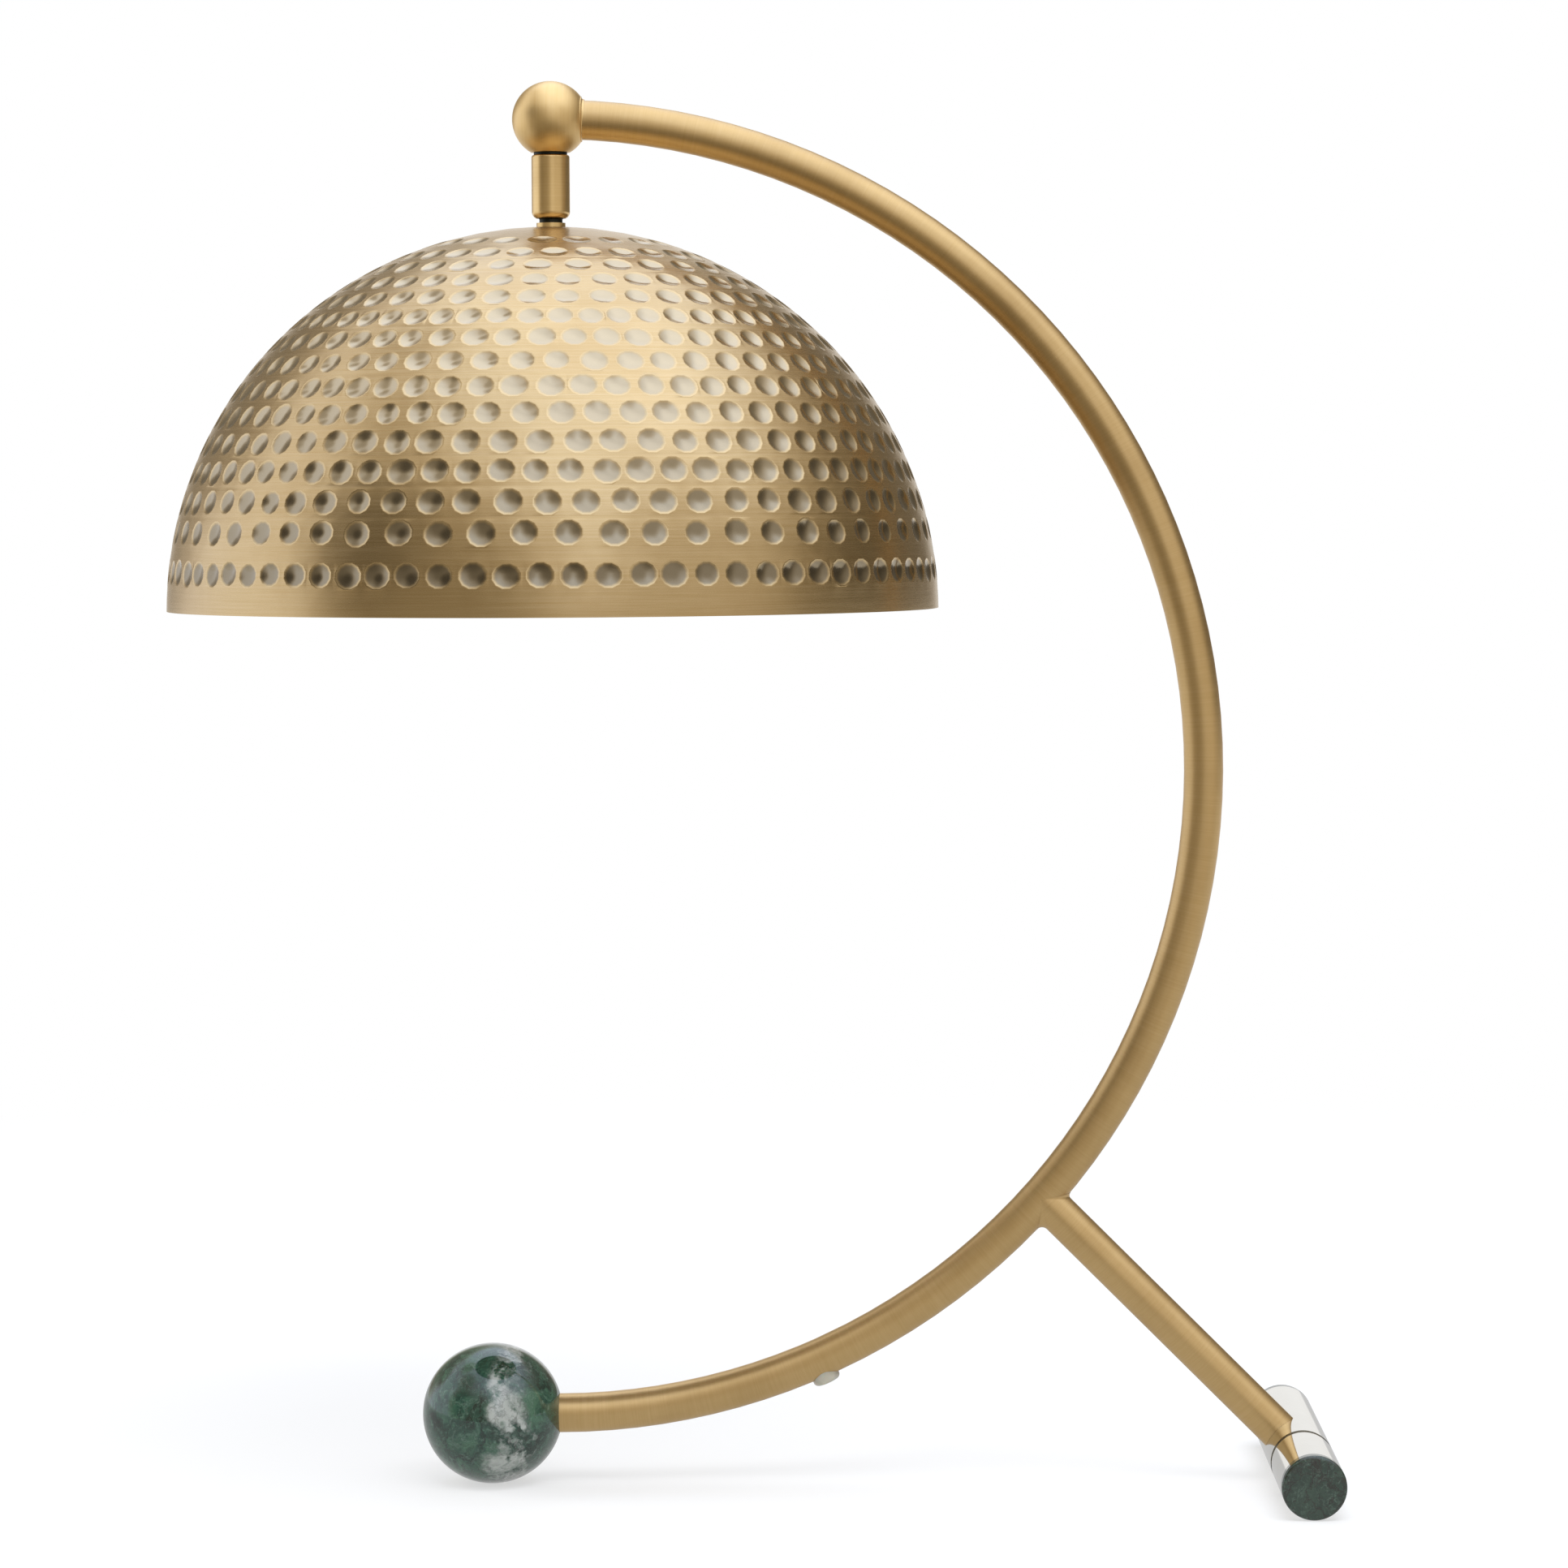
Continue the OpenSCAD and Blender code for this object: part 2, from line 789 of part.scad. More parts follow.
module shade_nut() {
    color(steel)
        placed()
            translate([0, 0, shade_nut_z])
                hex_nut(shade_nut_af, shade_nut_h, shank_r + fit);
}

module socket_cap() {
    color(dark_brass)
        placed()
            difference() {
                translate([0, 0, cap_z])
                    union() {
                        difference() {
                            round_rod(cap_r, socket_cap_h, 0, cap_shoulder);
                            translate([0, 0, -over])
                                round_rod(cap_in_r, socket_cap_h - socket_wall + over, 0, cap_shoulder - socket_wall);
                        }
                        translate([0, 0, socket_cap_h - socket_wall - hub_h])
                            cylinder(r = hub_r, h = hub_h + socket_wall / 2);
                    }
                translate([0, 0, cap_z - over])
                    cylinder(r = shank_r + fit, h = socket_cap_h + 2 * over);
            }
}

// Side hole through which the switch's shaft leaves the socket
module knob_hole(r) {
    translate([0, 0, knob_z])
        rotate([0, -90, 0])
            cylinder(r = r, h = cap_r + over);
}

module socket_shell() {
    color(dark_brass)
        placed()
            difference() {
                translate([0, 0, shell_z])
                    pipe(shell_r, shell_in_r, shell_len);
                knob_hole(knob_shaft_r + screw_gap);
            }
}

module socket_liner() {
    color(phenolic)
        placed()
            difference() {
                translate([0, 0, shell_z])
                    pipe(liner_r, liner_in_r, shell_len - shell_lap + over);
                knob_hole(knob_shaft_r + screw_gap);
            }
}

module switch_block() {
    color(phenolic)
        placed()
            difference() {
                translate([0, 0, block_z])
                    round_rod(block_r, block_h, 0, block_round);
                knob_hole(knob_shaft_r + run_fit);
            }
}

module bulb_holder() {
    color(dark_brass)
        placed()
            translate([0, 0, shell_z])
                difference() {
                    cylinder(r = holder_r, h = holder_len);
                    translate([0, 0, -over])
                        cylinder(r = holder_in_r, h = holder_len - holder_top_t + over);
                }
}

module centre_contact() {
    color(brass)
        placed()
            translate([0, 0, contact_z])
                cylinder(r = contact_r, h = holder_top_z - holder_top_t - fit - contact_z);
}

// Opal globe, open at its upper end where the bulb's base holds it
module bulb_globe() {
    color(opal)
        placed()
            translate([0, 0, globe_z])
                difference() {
                    sphere(r = globe_r, $fn = 128);
                    sphere(r = globe_r - glass_wall, $fn = 128);
                    translate([-globe_r, -globe_r, globe_cut_h])
                        cube([globe_d, globe_d, globe_r]);
                }
}

// Tapered base that continues the globe's curve up to the screw cap
module bulb_base() {
    color(plastic)
        placed()
            translate([0, 0, globe_z])
                rotate_extrude()
                    polygon([
                        [0, globe_cut_h + fit],
                        [globe_cut_r, globe_cut_h + fit],
                        [bulb_neck_r, neck_rise],
                        [bulb_neck_r, neck_rise + bulb_neck_h],
                        [0, neck_rise + bulb_neck_h]
                    ]);
}

module bulb_cap() {
    color(nickel)
        placed()
            translate([0, 0, bulb_neck_z])
                round_rod(bulb_cap_d / 2, bulb_cap_len, 0, bulb_cap_shoulder);
}

module bulb_tip() {
    color(steel)
        placed()
            translate([0, 0, bulb_cap_top_z])
                round_rod(tip_r, tip_h, 0, tip_round);
}

// Shaft from the switch block out through the shell, towards the shade's free side
module knob_shaft() {
    color(brass)
        placed()
            translate([-block_r + knob_seat, 0, knob_z])
                rotate([0, -90, 0])
                    cylinder(r = knob_shaft_r, h = knob_seat + shell_r - block_r + knob_reach);
}

module switch_knob() {
    color(phenolic)
        placed()
            translate([-shell_r - knob_reach + knob_len - knob_floor, 0, knob_z])
                rotate([0, -90, 0])
                    difference() {
                        round_rod(knob_d / 2, knob_len, knob_edge, knob_round);
                        for (k = [0 : knob_flutes - 1])
                            rotate([0, 0, k * 360 / knob_flutes])
                                translate([knob_d / 2 + flute_r / 3, 0, -over])
                                    cylinder(r = flute_r, h = knob_len + 2 * over);
                        translate([0, 0, -over])
                            cylinder(r = knob_shaft_r + fit, h = knob_len - knob_floor + fit + over);
                    }
}

arm_tube();
leg_tube();
leg_plug();
leg_screw();
stone_ball();
ball_insert();
ball_stud();
arm_plug();
cord_bushing();
crossbar_centre();
sleeve(-1);  // front_sleeve
sleeve(1);  // rear_sleeve
front_spacer();
bar_stud(-1);  // front_stud
bar_stud(1);  // rear_stud
stud_washers();
stud_nuts();
stone_disc(-1);  // front_stone_disc
stone_disc(1);  // rear_stone_disc
knuckle_ball();
knuckle_nipple();
swivel_washer();
thrust_washer();
ring_nut();
stem_housing();
stem_cap();
load_ring();
disc_springs();
pivot_seat();
pivot_stud();
shade_collar();
dome_shade();
shade_washer();
shade_nut();
socket_cap();
socket_shell();
socket_liner();
switch_block();
bulb_holder();
centre_contact();
bulb_globe();
bulb_base();
bulb_cap();
bulb_tip();
knob_shaft();
switch_knob();
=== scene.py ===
import math
import random

import bpy
from mathutils import Matrix, Vector


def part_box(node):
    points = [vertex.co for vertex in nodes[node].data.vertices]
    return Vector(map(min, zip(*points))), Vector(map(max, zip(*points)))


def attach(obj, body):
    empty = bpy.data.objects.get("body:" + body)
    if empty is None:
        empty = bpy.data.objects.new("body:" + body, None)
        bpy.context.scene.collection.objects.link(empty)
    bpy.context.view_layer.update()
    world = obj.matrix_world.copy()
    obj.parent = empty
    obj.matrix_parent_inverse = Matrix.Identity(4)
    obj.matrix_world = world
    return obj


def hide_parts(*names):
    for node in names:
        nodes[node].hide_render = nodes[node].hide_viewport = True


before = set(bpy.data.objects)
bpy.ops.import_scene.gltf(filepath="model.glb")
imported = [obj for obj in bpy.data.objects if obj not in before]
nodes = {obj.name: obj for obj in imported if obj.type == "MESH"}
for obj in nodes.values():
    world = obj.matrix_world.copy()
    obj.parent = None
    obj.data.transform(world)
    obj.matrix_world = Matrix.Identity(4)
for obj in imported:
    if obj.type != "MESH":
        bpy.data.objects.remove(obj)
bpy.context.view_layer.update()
mm = 0.001
print("frame loaded with", len(nodes), "nodes")


# places taken from the frame
shadeLow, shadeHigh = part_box("dome_shade")
armLow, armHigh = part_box("arm_tube")
ballLow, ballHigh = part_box("stone_ball")
barLow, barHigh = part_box("crossbar_centre")
discLow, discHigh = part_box("front_stone_disc")
knuckleLow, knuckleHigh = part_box("knuckle_ball")

tube = {"radius": 8 * mm, "legAngle": 45}       # arm and leg, with the leg's slope in degrees
axisX = (shadeLow.x + shadeHigh.x) / 2
shadeAxis = Vector((axisX, 0, 0))
arcRadius = armHigh.x - axisX - tube["radius"]
arcCentre = Vector((axisX, 0, armLow.z + tube["radius"] + arcRadius))
barCentre = Vector(((barLow.x + barHigh.x) / 2, 0, (barLow.z + barHigh.z) / 2))
ballRadius = (ballHigh.y - ballLow.y) / 2       # only its width is whole: it has a flat below and a seat
ballCentre = Vector((ballLow.x + ballRadius, 0, ballHigh.z - ballRadius))
discCentre = (discLow + discHigh) / 2
knuckleCentre = Vector((axisX, 0, (knuckleLow.z + knuckleHigh.z) / 2))


# helpers

def linearColour(code):
    # sRGB hex code to the linear colour that a shader wants
    parts = [int(code[i:i + 2], 16) / 255 for i in (1, 3, 5)]
    return tuple(c / 12.92 if c <= 0.04045 else ((c + 0.055) / 1.055) ** 2.4 for c in parts) + (1.0,)


def scaleFor(size):
    # the Scale of a pattern whose waves are this many mm long
    return 1000 / size


# sockets of the Mix node: share, both colours and the mixed colour, then both numbers and the mixed number
mixShare, colourA, colourB, colourOut = 0, 6, 7, 2
numberA, numberB, numberOut = 2, 3, 0


def addNode(tree, kind, settings=None, links=None):
    # one node with its settings and links; "stops" fills a colour ramp
    node = tree.nodes.new(kind)
    for key, value in (settings or {}).items():
        if key == "stops":
            ramp = node.color_ramp
            while len(ramp.elements) < len(value):
                ramp.elements.new(0.5)
            for element, (place, colour) in zip(ramp.elements, value):
                element.position = place
                element.color = linearColour(colour) if isinstance(colour, str) else (colour,) * 3 + (1,)
        elif isinstance(key, str) and key in node.bl_rna.properties:
            setattr(node, key, value)
        else:
            node.inputs[key].default_value = value
    for key, socket in (links or {}).items():
        tree.links.new(socket, node.inputs[key])
    return node


def newMaterial(name, settings):
    material = bpy.data.materials.new(name)
    material.use_nodes = True
    tree = material.node_tree
    shader = tree.nodes["Principled BSDF"]
    for key, value in settings.items():
        shader.inputs[key].default_value = value
    return material, tree, shader


def setMaterial(obj, material):
    obj.data.materials.clear()
    obj.data.materials.append(material)


def makeActive(obj):
    if bpy.context.object and bpy.context.object.mode != "OBJECT":
        bpy.ops.object.mode_set(mode="OBJECT")
    bpy.ops.object.select_all(action="DESELECT")
    obj.select_set(True)
    bpy.context.view_layer.objects.active = obj


def meshObject(name, points, faces):
    mesh = bpy.data.meshes.new(name)
    mesh.from_pydata(points, [], faces)
    mesh.update()
    obj = bpy.data.objects.new(name, mesh)
    bpy.context.scene.collection.objects.link(obj)
    return obj


def smoothOutwards(obj, sharpAngle=50):
    # all faces point outwards, and only edges sharper than this many degrees stay hard
    makeActive(obj)
    bpy.ops.object.mode_set(mode="EDIT")
    bpy.ops.mesh.select_all(action="SELECT")
    bpy.ops.mesh.normals_make_consistent(inside=False)
    bpy.ops.object.mode_set(mode="OBJECT")
    bpy.ops.object.shade_smooth_by_angle(angle=math.radians(sharpAngle))


# brass: satin antique brass, brushed with fine abrasive and lacquered
brass = {
    "tones": ("#D4B278", "#DBBA82"),
    "turnedTones": ("#E4C183", "#EBCA8E"),
    # painted light: the knuckle ball's brass is a lighter copy of the arm's
    "litBallTones": ("#EBC888", "#F2D194"),
    "patina": "#A8844F",
    "roughness": (0.38, 0.42),
    "turnedRoughness": (0.28, 0.32),
    "coat": 0.25,
    "coatRoughness": 0.3,
    "coatIor": 1.5,
    # a light and a dark line of 0.34 mm, a little coarser than real brush lines, so that they show
    "lines": {"Scale": scaleFor(0.68), "Detail": 3.0, "Roughness": 0.65},
    "lineDepth": 0.0007,        # mm
    "toneStops": (0.3, 0.7),
    "roughnessRange": {"From Min": 0.25, "From Max": 0.75},
    "patinaClouds": {"Scale": scaleFor(34.0), "Detail": 4.0, "Roughness": 0.6},
    "patinaRange": {"From Min": 0.45, "From Max": 0.8, "To Min": 0.0, "To Max": 0.3},
    # how much slower the pattern changes along its lines than across them
    "roundStretch": 0.02,
    "rodStretch": 0.03,
    "arcStretch": 0.03,
    "domeStretch": 0.015,
}


def brushedBrass(name, lineWay, tones=brass["tones"], roughness=brass["roughness"], coat=brass["coat"],
                 depth=brass["lineDepth"], dentSkinAndPaintedLight=None):
    # satin brass: soft, wide reflections with faint brush lines, laid by the function lineWay
    material, tree, shader = newMaterial(name, {
        "Metallic": 1.0, "Coat Weight": coat, "Coat Roughness": brass["coatRoughness"],
        "Coat IOR": brass["coatIor"],
    })
    where = addNode(tree, "ShaderNodeTexCoord").outputs["Object"]
    grain, slow = lineWay(tree, where)
    lines = addNode(tree, "ShaderNodeTexNoise", brass["lines"], {"Vector": grain}).outputs["Fac"]
    clouds = addNode(tree, "ShaderNodeTexNoise", brass["patinaClouds"], {"Vector": slow}).outputs["Fac"]
    stops = list(zip(brass["toneStops"], tones))
    tone = addNode(tree, "ShaderNodeValToRGB", {"stops": stops}, {"Fac": lines})
    worn = addNode(tree, "ShaderNodeMapRange", brass["patinaRange"], {"Value": clouds})
    aged = addNode(tree, "ShaderNodeMix", {"data_type": "RGBA", colourB: linearColour(brass["patina"])},
                   {mixShare: worn.outputs["Result"], colourA: tone.outputs["Color"]})
    gloss = addNode(tree, "ShaderNodeMapRange", {
        **brass["roughnessRange"], "To Min": roughness[0], "To Max": roughness[1]}, {"Value": lines})
    colour, rough = aged.outputs[colourOut], gloss.outputs["Result"]
    if dentSkinAndPaintedLight:
        colour, rough = dentSkinAndPaintedLight(tree, where, colour, rough)
    bump = addNode(tree, "ShaderNodeBump", {"Strength": 1.0, "Distance": depth * mm}, {"Height": lines})
    tree.links.new(colour, shader.inputs["Base Color"])
    tree.links.new(rough, shader.inputs["Roughness"])
    tree.links.new(bump.outputs["Normal"], shader.inputs["Normal"])
    return material


def linesRound(centre):
    # brush lines run round the Z axis through centre, so the pattern changes with height
    def lineWay(tree, where):
        moved = addNode(tree, "ShaderNodeMapping", {"Location": -Vector(centre)}, {"Vector": where})
        stretch = (brass["roundStretch"], brass["roundStretch"], 1.0)
        grain = addNode(tree, "ShaderNodeVectorMath", {"operation": "MULTIPLY", 1: stretch},
                        {0: moved.outputs["Vector"]})
        return grain.outputs[0], moved.outputs["Vector"]
    return lineWay


def linesOnRod(centre, turn):
    # brush lines run round a straight rod that leaves centre at this angle
    def lineWay(tree, where):
        moved = addNode(tree, "ShaderNodeMapping", {
            "vector_type": "TEXTURE", "Location": Vector(centre), "Rotation": (0, math.radians(turn), 0)},
            {"Vector": where})
        stretch = (1.0, brass["rodStretch"], brass["rodStretch"])
        grain = addNode(tree, "ShaderNodeVectorMath", {"operation": "MULTIPLY", 1: stretch},
                        {0: moved.outputs["Vector"]})
        return grain.outputs[0], moved.outputs["Vector"]
    return lineWay


def linesOnArc(tree, where):
    # brush lines run round the bent tube: the pattern changes with the angle about the arc's centre
    mapping = addNode(tree, "ShaderNodeMapping", {"Location": -arcCentre}, {"Vector": where})
    moved = mapping.outputs["Vector"]
    split = addNode(tree, "ShaderNodeSeparateXYZ", None, {"Vector": moved})
    angle = addNode(tree, "ShaderNodeMath", {"operation": "ARCTAN2"},
                    {0: split.outputs["Z"], 1: split.outputs["X"]})
    length = addNode(tree, "ShaderNodeMath", {"operation": "MULTIPLY", 1: arcRadius}, {0: angle.outputs[0]})
    stretch = (brass["arcStretch"],) * 3
    slow = addNode(tree, "ShaderNodeVectorMath", {"operation": "MULTIPLY", 1: stretch}, {0: moved})
    fast = addNode(tree, "ShaderNodeCombineXYZ", None, {"X": length.outputs[0]})
    grain = addNode(tree, "ShaderNodeVectorMath", {"operation": "ADD"},
                    {0: slow.outputs[0], 1: fast.outputs[0]})
    return grain.outputs[0], moved


def linesOnDome(tree, where):
    # brush lines run level round the dome: the pattern changes with the height angle
    mapping = addNode(tree, "ShaderNodeMapping", {"Location": -shade["centre"]}, {"Vector": where})
    moved = mapping.outputs["Vector"]
    split = addNode(tree, "ShaderNodeSeparateXYZ", None, {"Vector": moved})
    level = addNode(tree, "ShaderNodeVectorMath", {"operation": "MULTIPLY", 1: (1, 1, 0)}, {0: moved})
    out = addNode(tree, "ShaderNodeVectorMath", {"operation": "LENGTH"}, {0: level.outputs[0]})
    angle = addNode(tree, "ShaderNodeMath", {"operation": "ARCTAN2"},
                    {0: split.outputs["Z"], 1: out.outputs["Value"]})
    height = addNode(tree, "ShaderNodeMath", {"operation": "MULTIPLY", 1: shade["radius"]},
                     {0: angle.outputs[0]})
    stretch = (brass["domeStretch"], brass["domeStretch"], 0)
    slow = addNode(tree, "ShaderNodeVectorMath", {"operation": "MULTIPLY", 1: stretch}, {0: moved})
    fast = addNode(tree, "ShaderNodeCombineXYZ", None, {"Z": height.outputs[0]})
    grain = addNode(tree, "ShaderNodeVectorMath", {"operation": "ADD"},
                    {0: slow.outputs[0], 1: fast.outputs[0]})
    return grain.outputs[0], moved


# the shade: one spun sheet of brass, hammered with rows of round dents
shade = {
    "wall": 1.2 * mm,
    "landRadius": 7.0 * mm,      # flat at the top, under the collar
    "holeRadius": 4.75 * mm,
    "dentWidth": 11.4 * mm,
    "dentHeight": 10.2 * mm,
    "dentDepth": 1.1 * mm,
    "innerDepth": 0.9,           # depth on the inner face, as a share of the outer one
    "edgeSoftness": 1.3,         # power of the bowl's curve: more than 1 rounds the dent's edge
    "widestDent": 0.93,          # at most this share of its cell's width
    "cellHeight": 1.13,          # of a row's cells, as a share of dentHeight
    # rows from the rim up, as height angles in degrees, with each row's dents and its first one's turn
    "firstRow": 6.5,
    "secondRow": 12.4,
    "rowStep": 4.5,
    "lastRow": 72.1,
    "counts": [76, 58, 63, 69, 63, 62, 62, 55, 55, 56, 43, 38, 30, 29, 21],
    "starts": [2.0, -0.4, 2.8, 1.3, 1.7, -0.8, -2.6, -1.9, 1.4, -1.0, -0.8, -1.0, 0.2, 4.8, -0.8],
    # unevenness by hand: shares of the dent's size and of the row's pitch, and degrees of height
    "seed": 7,
    "uneven": {"size": 0.05, "pitch": 0.05, "degrees": 0.12, "width": 0.05, "depth": 0.12},
    # mesh: each dent has as many corners as its cell's border, and its rings lie at these shares of its size
    "corners": 12,
    "outerRings": (1.07, 1.0, 0.93, 0.75, 0.42),
    "innerRings": (1.05, 0.9, 0.5),
    "rimRings": (0, 0.04, 0.5),
    "crownRings": (0.33, 0.66, 1.0),
    "lip": 0.06 * mm,            # raised edge, on the rings between these shares
    "lipFrom": 0.98,
    "lipTo": 1.1,
    # skin: the "dent" attribute rises from 0 at maskEdge to 1 this much further in
    "maskEdge": 1.07,
    "maskFade": 0.22,
    "skinRange": {"From Min": 0.5, "From Max": 1.0},
    # painted highlight on the dents' lips, placed by the dent attribute
    "lipHighlightStops": [(0.15, 0.0), (0.5, 0.4), (0.85, 0.0)],
    "tones": ("#C6A977", "#D3B88A"),
    "roughness": (0.25, 0.29),
    "lineDepth": 0.0035,         # mm
    # painted shade and light: the dents' skin goes from a darker colour low on the dome to a paler one high
    # on it
    "shadedLowSkin": "#93866F",
    "shadedSkinTop": 20 * mm,       # above the rim
    "litHighSkin": "#C1B091",
    "litSkinStart": 95 * mm,
    "skinRoughness": 0.17,
    # colour of the painted highlight on the dents' lips
    "lipHighlight": "#DEC79B",
}
rimRadius = (shadeHigh.x - shadeLow.x) / 2
domeHeight = shadeHigh.z - shadeLow.z
domeLift = (shade["landRadius"] ** 2 + domeHeight ** 2 - rimRadius ** 2) / (2 * domeHeight)
shade["radius"] = math.hypot(rimRadius, domeLift)
shade["centre"] = Vector((axisX, 0, shadeLow.z + domeLift))
middleRows = [shade["secondRow"] + shade["rowStep"] * i for i in range(len(shade["counts"]) - 2)]
shade["rows"] = [shade["firstRow"]] + middleRows + [shade["lastRow"]]


def placeDents():
    # every row's dents, a little uneven as hammered by hand
    chance = random.Random(shade["seed"])

    def uneven(key):
        return chance.uniform(-shade["uneven"][key], shade["uneven"][key])

    rows = []
    for height, count, start in zip(shade["rows"], shade["counts"], shade["starts"]):
        pitch = 360 / count
        row = []
        for k in range(count):
            size = 1 + uneven("size")
            row.append({
                "turn": math.radians(start + k * pitch + uneven("pitch") * pitch),
                "height": math.radians(height + uneven("degrees")),
                "width": shade["dentWidth"] / 2 * size * (1 + uneven("width")),
                "tall": shade["dentHeight"] / 2 * size,
                "depth": shade["dentDepth"] * size * (1 + uneven("depth")),
            })
        rows.append(row)
    return rows


# the sheet is one dictionary of points, faces and "dent" values, and a side is its outer or its inner face

def sheetPoint(sheet, side, height, turn, lift=0.0, dent=0.0):
    # adds a point at this height angle and turn from the front, and returns its number
    centre, r = shade["centre"], side["radius"] + lift
    sheet["points"].append((centre.x + r * math.cos(height) * math.sin(turn),
                            -r * math.cos(height) * math.cos(turn), centre.z + r * math.sin(height)))
    sheet["dents"].append(dent)
    return len(sheet["points"]) - 1


def sheetFace(sheet, side, *corners):
    sheet["faces"].append(corners if side["outward"] else tuple(reversed(corners)))


def sortRing(ring):
    # a ring is a list of (turn, point) that starts at its smallest turn
    ring = [(turn % (2 * math.pi), point) for turn, point in ring]
    start = min(range(len(ring)), key=lambda k: ring[k][0])
    return ring[start:] + ring[:start]


def joinRings(sheet, side, low, high):
    # joins two closed rings that may have different counts
    def pointAt(ring, k):
        return ring[k % len(ring)][1]

    def turnAt(ring, k):
        return ring[k % len(ring)][0] + 2 * math.pi * (k // len(ring))

    i = j = 0
    while i < len(low) or j < len(high):
        a, b = pointAt(low, i), pointAt(high, j)
        if len(low) == len(high):
            sheetFace(sheet, side, a, pointAt(low, i + 1), pointAt(high, j + 1), b)
            i, j = i + 1, j + 1
        elif j >= len(high) or (i < len(low) and turnAt(low, i + 1) <= turnAt(high, j + 1)):
            sheetFace(sheet, side, a, pointAt(low, i + 1), b)
            i += 1
        else:
            sheetFace(sheet, side, a, pointAt(high, j + 1), b)
            j += 1


def addPlainRings(sheet, side, turns, heights, below=None):
    # rings without dents at these height angles, joined to each other and to the ring below
    rings = [below] if below else []
    for height in heights:
        ring = [(turn, sheetPoint(sheet, side, height, turn)) for turn in turns]
        if rings:
            joinRings(sheet, side, rings[-1], ring)
        rings.append(ring)
    return rings


def addDent(sheet, side, dent, cellWidth, border):
    # rings of corners from the cell's border down to the dent's middle
    radius, corners = side["radius"], shade["corners"]
    depth = dent["depth"] * side["depthShare"]
    wide = min(dent["width"], cellWidth * radius * math.cos(dent["height"]) / 2 * shade["widestDent"])
    outer = border
    for share in side["rings"]:
        lift = -depth * max(0.0, 1 - share * share) ** shade["edgeSoftness"]
        if shade["lipFrom"] < share < shade["lipTo"]:
            lift += shade["lip"]
        mask = min(1.0, max(0.0, (shade["maskEdge"] - share) / shade["maskFade"]))
        ring = []
        for s in range(corners):
            angle = math.radians((s + 0.5) * 360 / corners)
            across = share * wide * math.cos(angle) / (radius * math.cos(dent["height"]))
            up = share * dent["tall"] * math.sin(angle) / radius
            ring.append(sheetPoint(sheet, side, dent["height"] + up, dent["turn"] + across, lift, mask))
        for s in range(corners):
            n = (s + 1) % corners
            sheetFace(sheet, side, outer[s], outer[n], ring[n], ring[s])
        outer = ring
    middle = sheetPoint(sheet, side, dent["height"], dent["turn"], -depth, 1.0)
    for s in range(corners):
        sheetFace(sheet, side, outer[s], outer[(s + 1) % corners], middle)


def addRow(sheet, side, row, low, high):
    # one row of dents, whose cells share their upright borders halfway between the dents:
    # returns the rings below and above the row
    count = len(row)
    borders = []
    for k in range(count):
        before = row[k - 1]["turn"] - (2 * math.pi if k == 0 else 0)
        borders.append((row[k]["turn"] + before) / 2)
    ends = borders[1:] + [borders[0] + 2 * math.pi]
    levels = [low + (high - low) * f for f in (0, 1 / 3, 2 / 3, 1)]
    uprights = [[sheetPoint(sheet, side, level, turn) for level in levels] for turn in borders]
    bottomRing, topRing = [], []
    for k, dent in enumerate(row):
        left, right = borders[k], ends[k]
        thirds = [left + (right - left) * f for f in (1 / 3, 2 / 3)]
        bottom = [sheetPoint(sheet, side, low, turn) for turn in thirds]
        top = [sheetPoint(sheet, side, high, turn) for turn in thirds]
        leftLine, rightLine = uprights[k], uprights[(k + 1) % count]
        addDent(sheet, side, dent, right - left, [
            rightLine[2], rightLine[3], top[1], top[0], leftLine[3], leftLine[2],
            leftLine[1], leftLine[0], bottom[0], bottom[1], rightLine[0], rightLine[1]])
        bottomRing += [(left, leftLine[0]), (thirds[0], bottom[0]), (thirds[1], bottom[1])]
        topRing += [(left, leftLine[3]), (thirds[0], top[0]), (thirds[1], top[1])]
    return sortRing(bottomRing), sortRing(topRing)


def addSide(sheet, side, rows):
    # one side of the sheet, from the rim up to the stud's hole: returns its rings at both edges
    centre, radius = shade["centre"], side["radius"]
    rimAngle = math.asin((shadeLow.z - centre.z) / radius)
    halfCell = shade["dentHeight"] / 2 * shade["cellHeight"] / radius
    rim = last = None
    for height, row in zip(shade["rows"], rows):
        low, high = math.radians(height) - halfCell, math.radians(height) + halfCell
        bottom, top = addRow(sheet, side, row, low, high)
        if rim is None:
            heights = [rimAngle + (low - rimAngle) * f for f in shade["rimRings"]]
            rings = addPlainRings(sheet, side, [turn for turn, point in bottom], heights)
            rim, last = rings[0], rings[-1]
        joinRings(sheet, side, last, bottom)
        last = top
    # the plain crown above the last row, then the flat round the hole
    landAngle = math.acos(shade["landRadius"] / radius)
    turns = [turn for turn, point in last]
    heights = [high + (landAngle - high) * f for f in shade["crownRings"]]
    last = addPlainRings(sheet, side, turns, heights, last)[-1]
    z = shadeHigh.z if side["outward"] else centre.z + radius * math.sin(landAngle)
    hole = []
    for turn in turns:
        hole.append((turn, len(sheet["points"])))
        sheet["points"].append((centre.x + shade["holeRadius"] * math.sin(turn),
                                -shade["holeRadius"] * math.cos(turn), z))
        sheet["dents"].append(0.0)
    joinRings(sheet, side, last, hole)
    return rim, hole


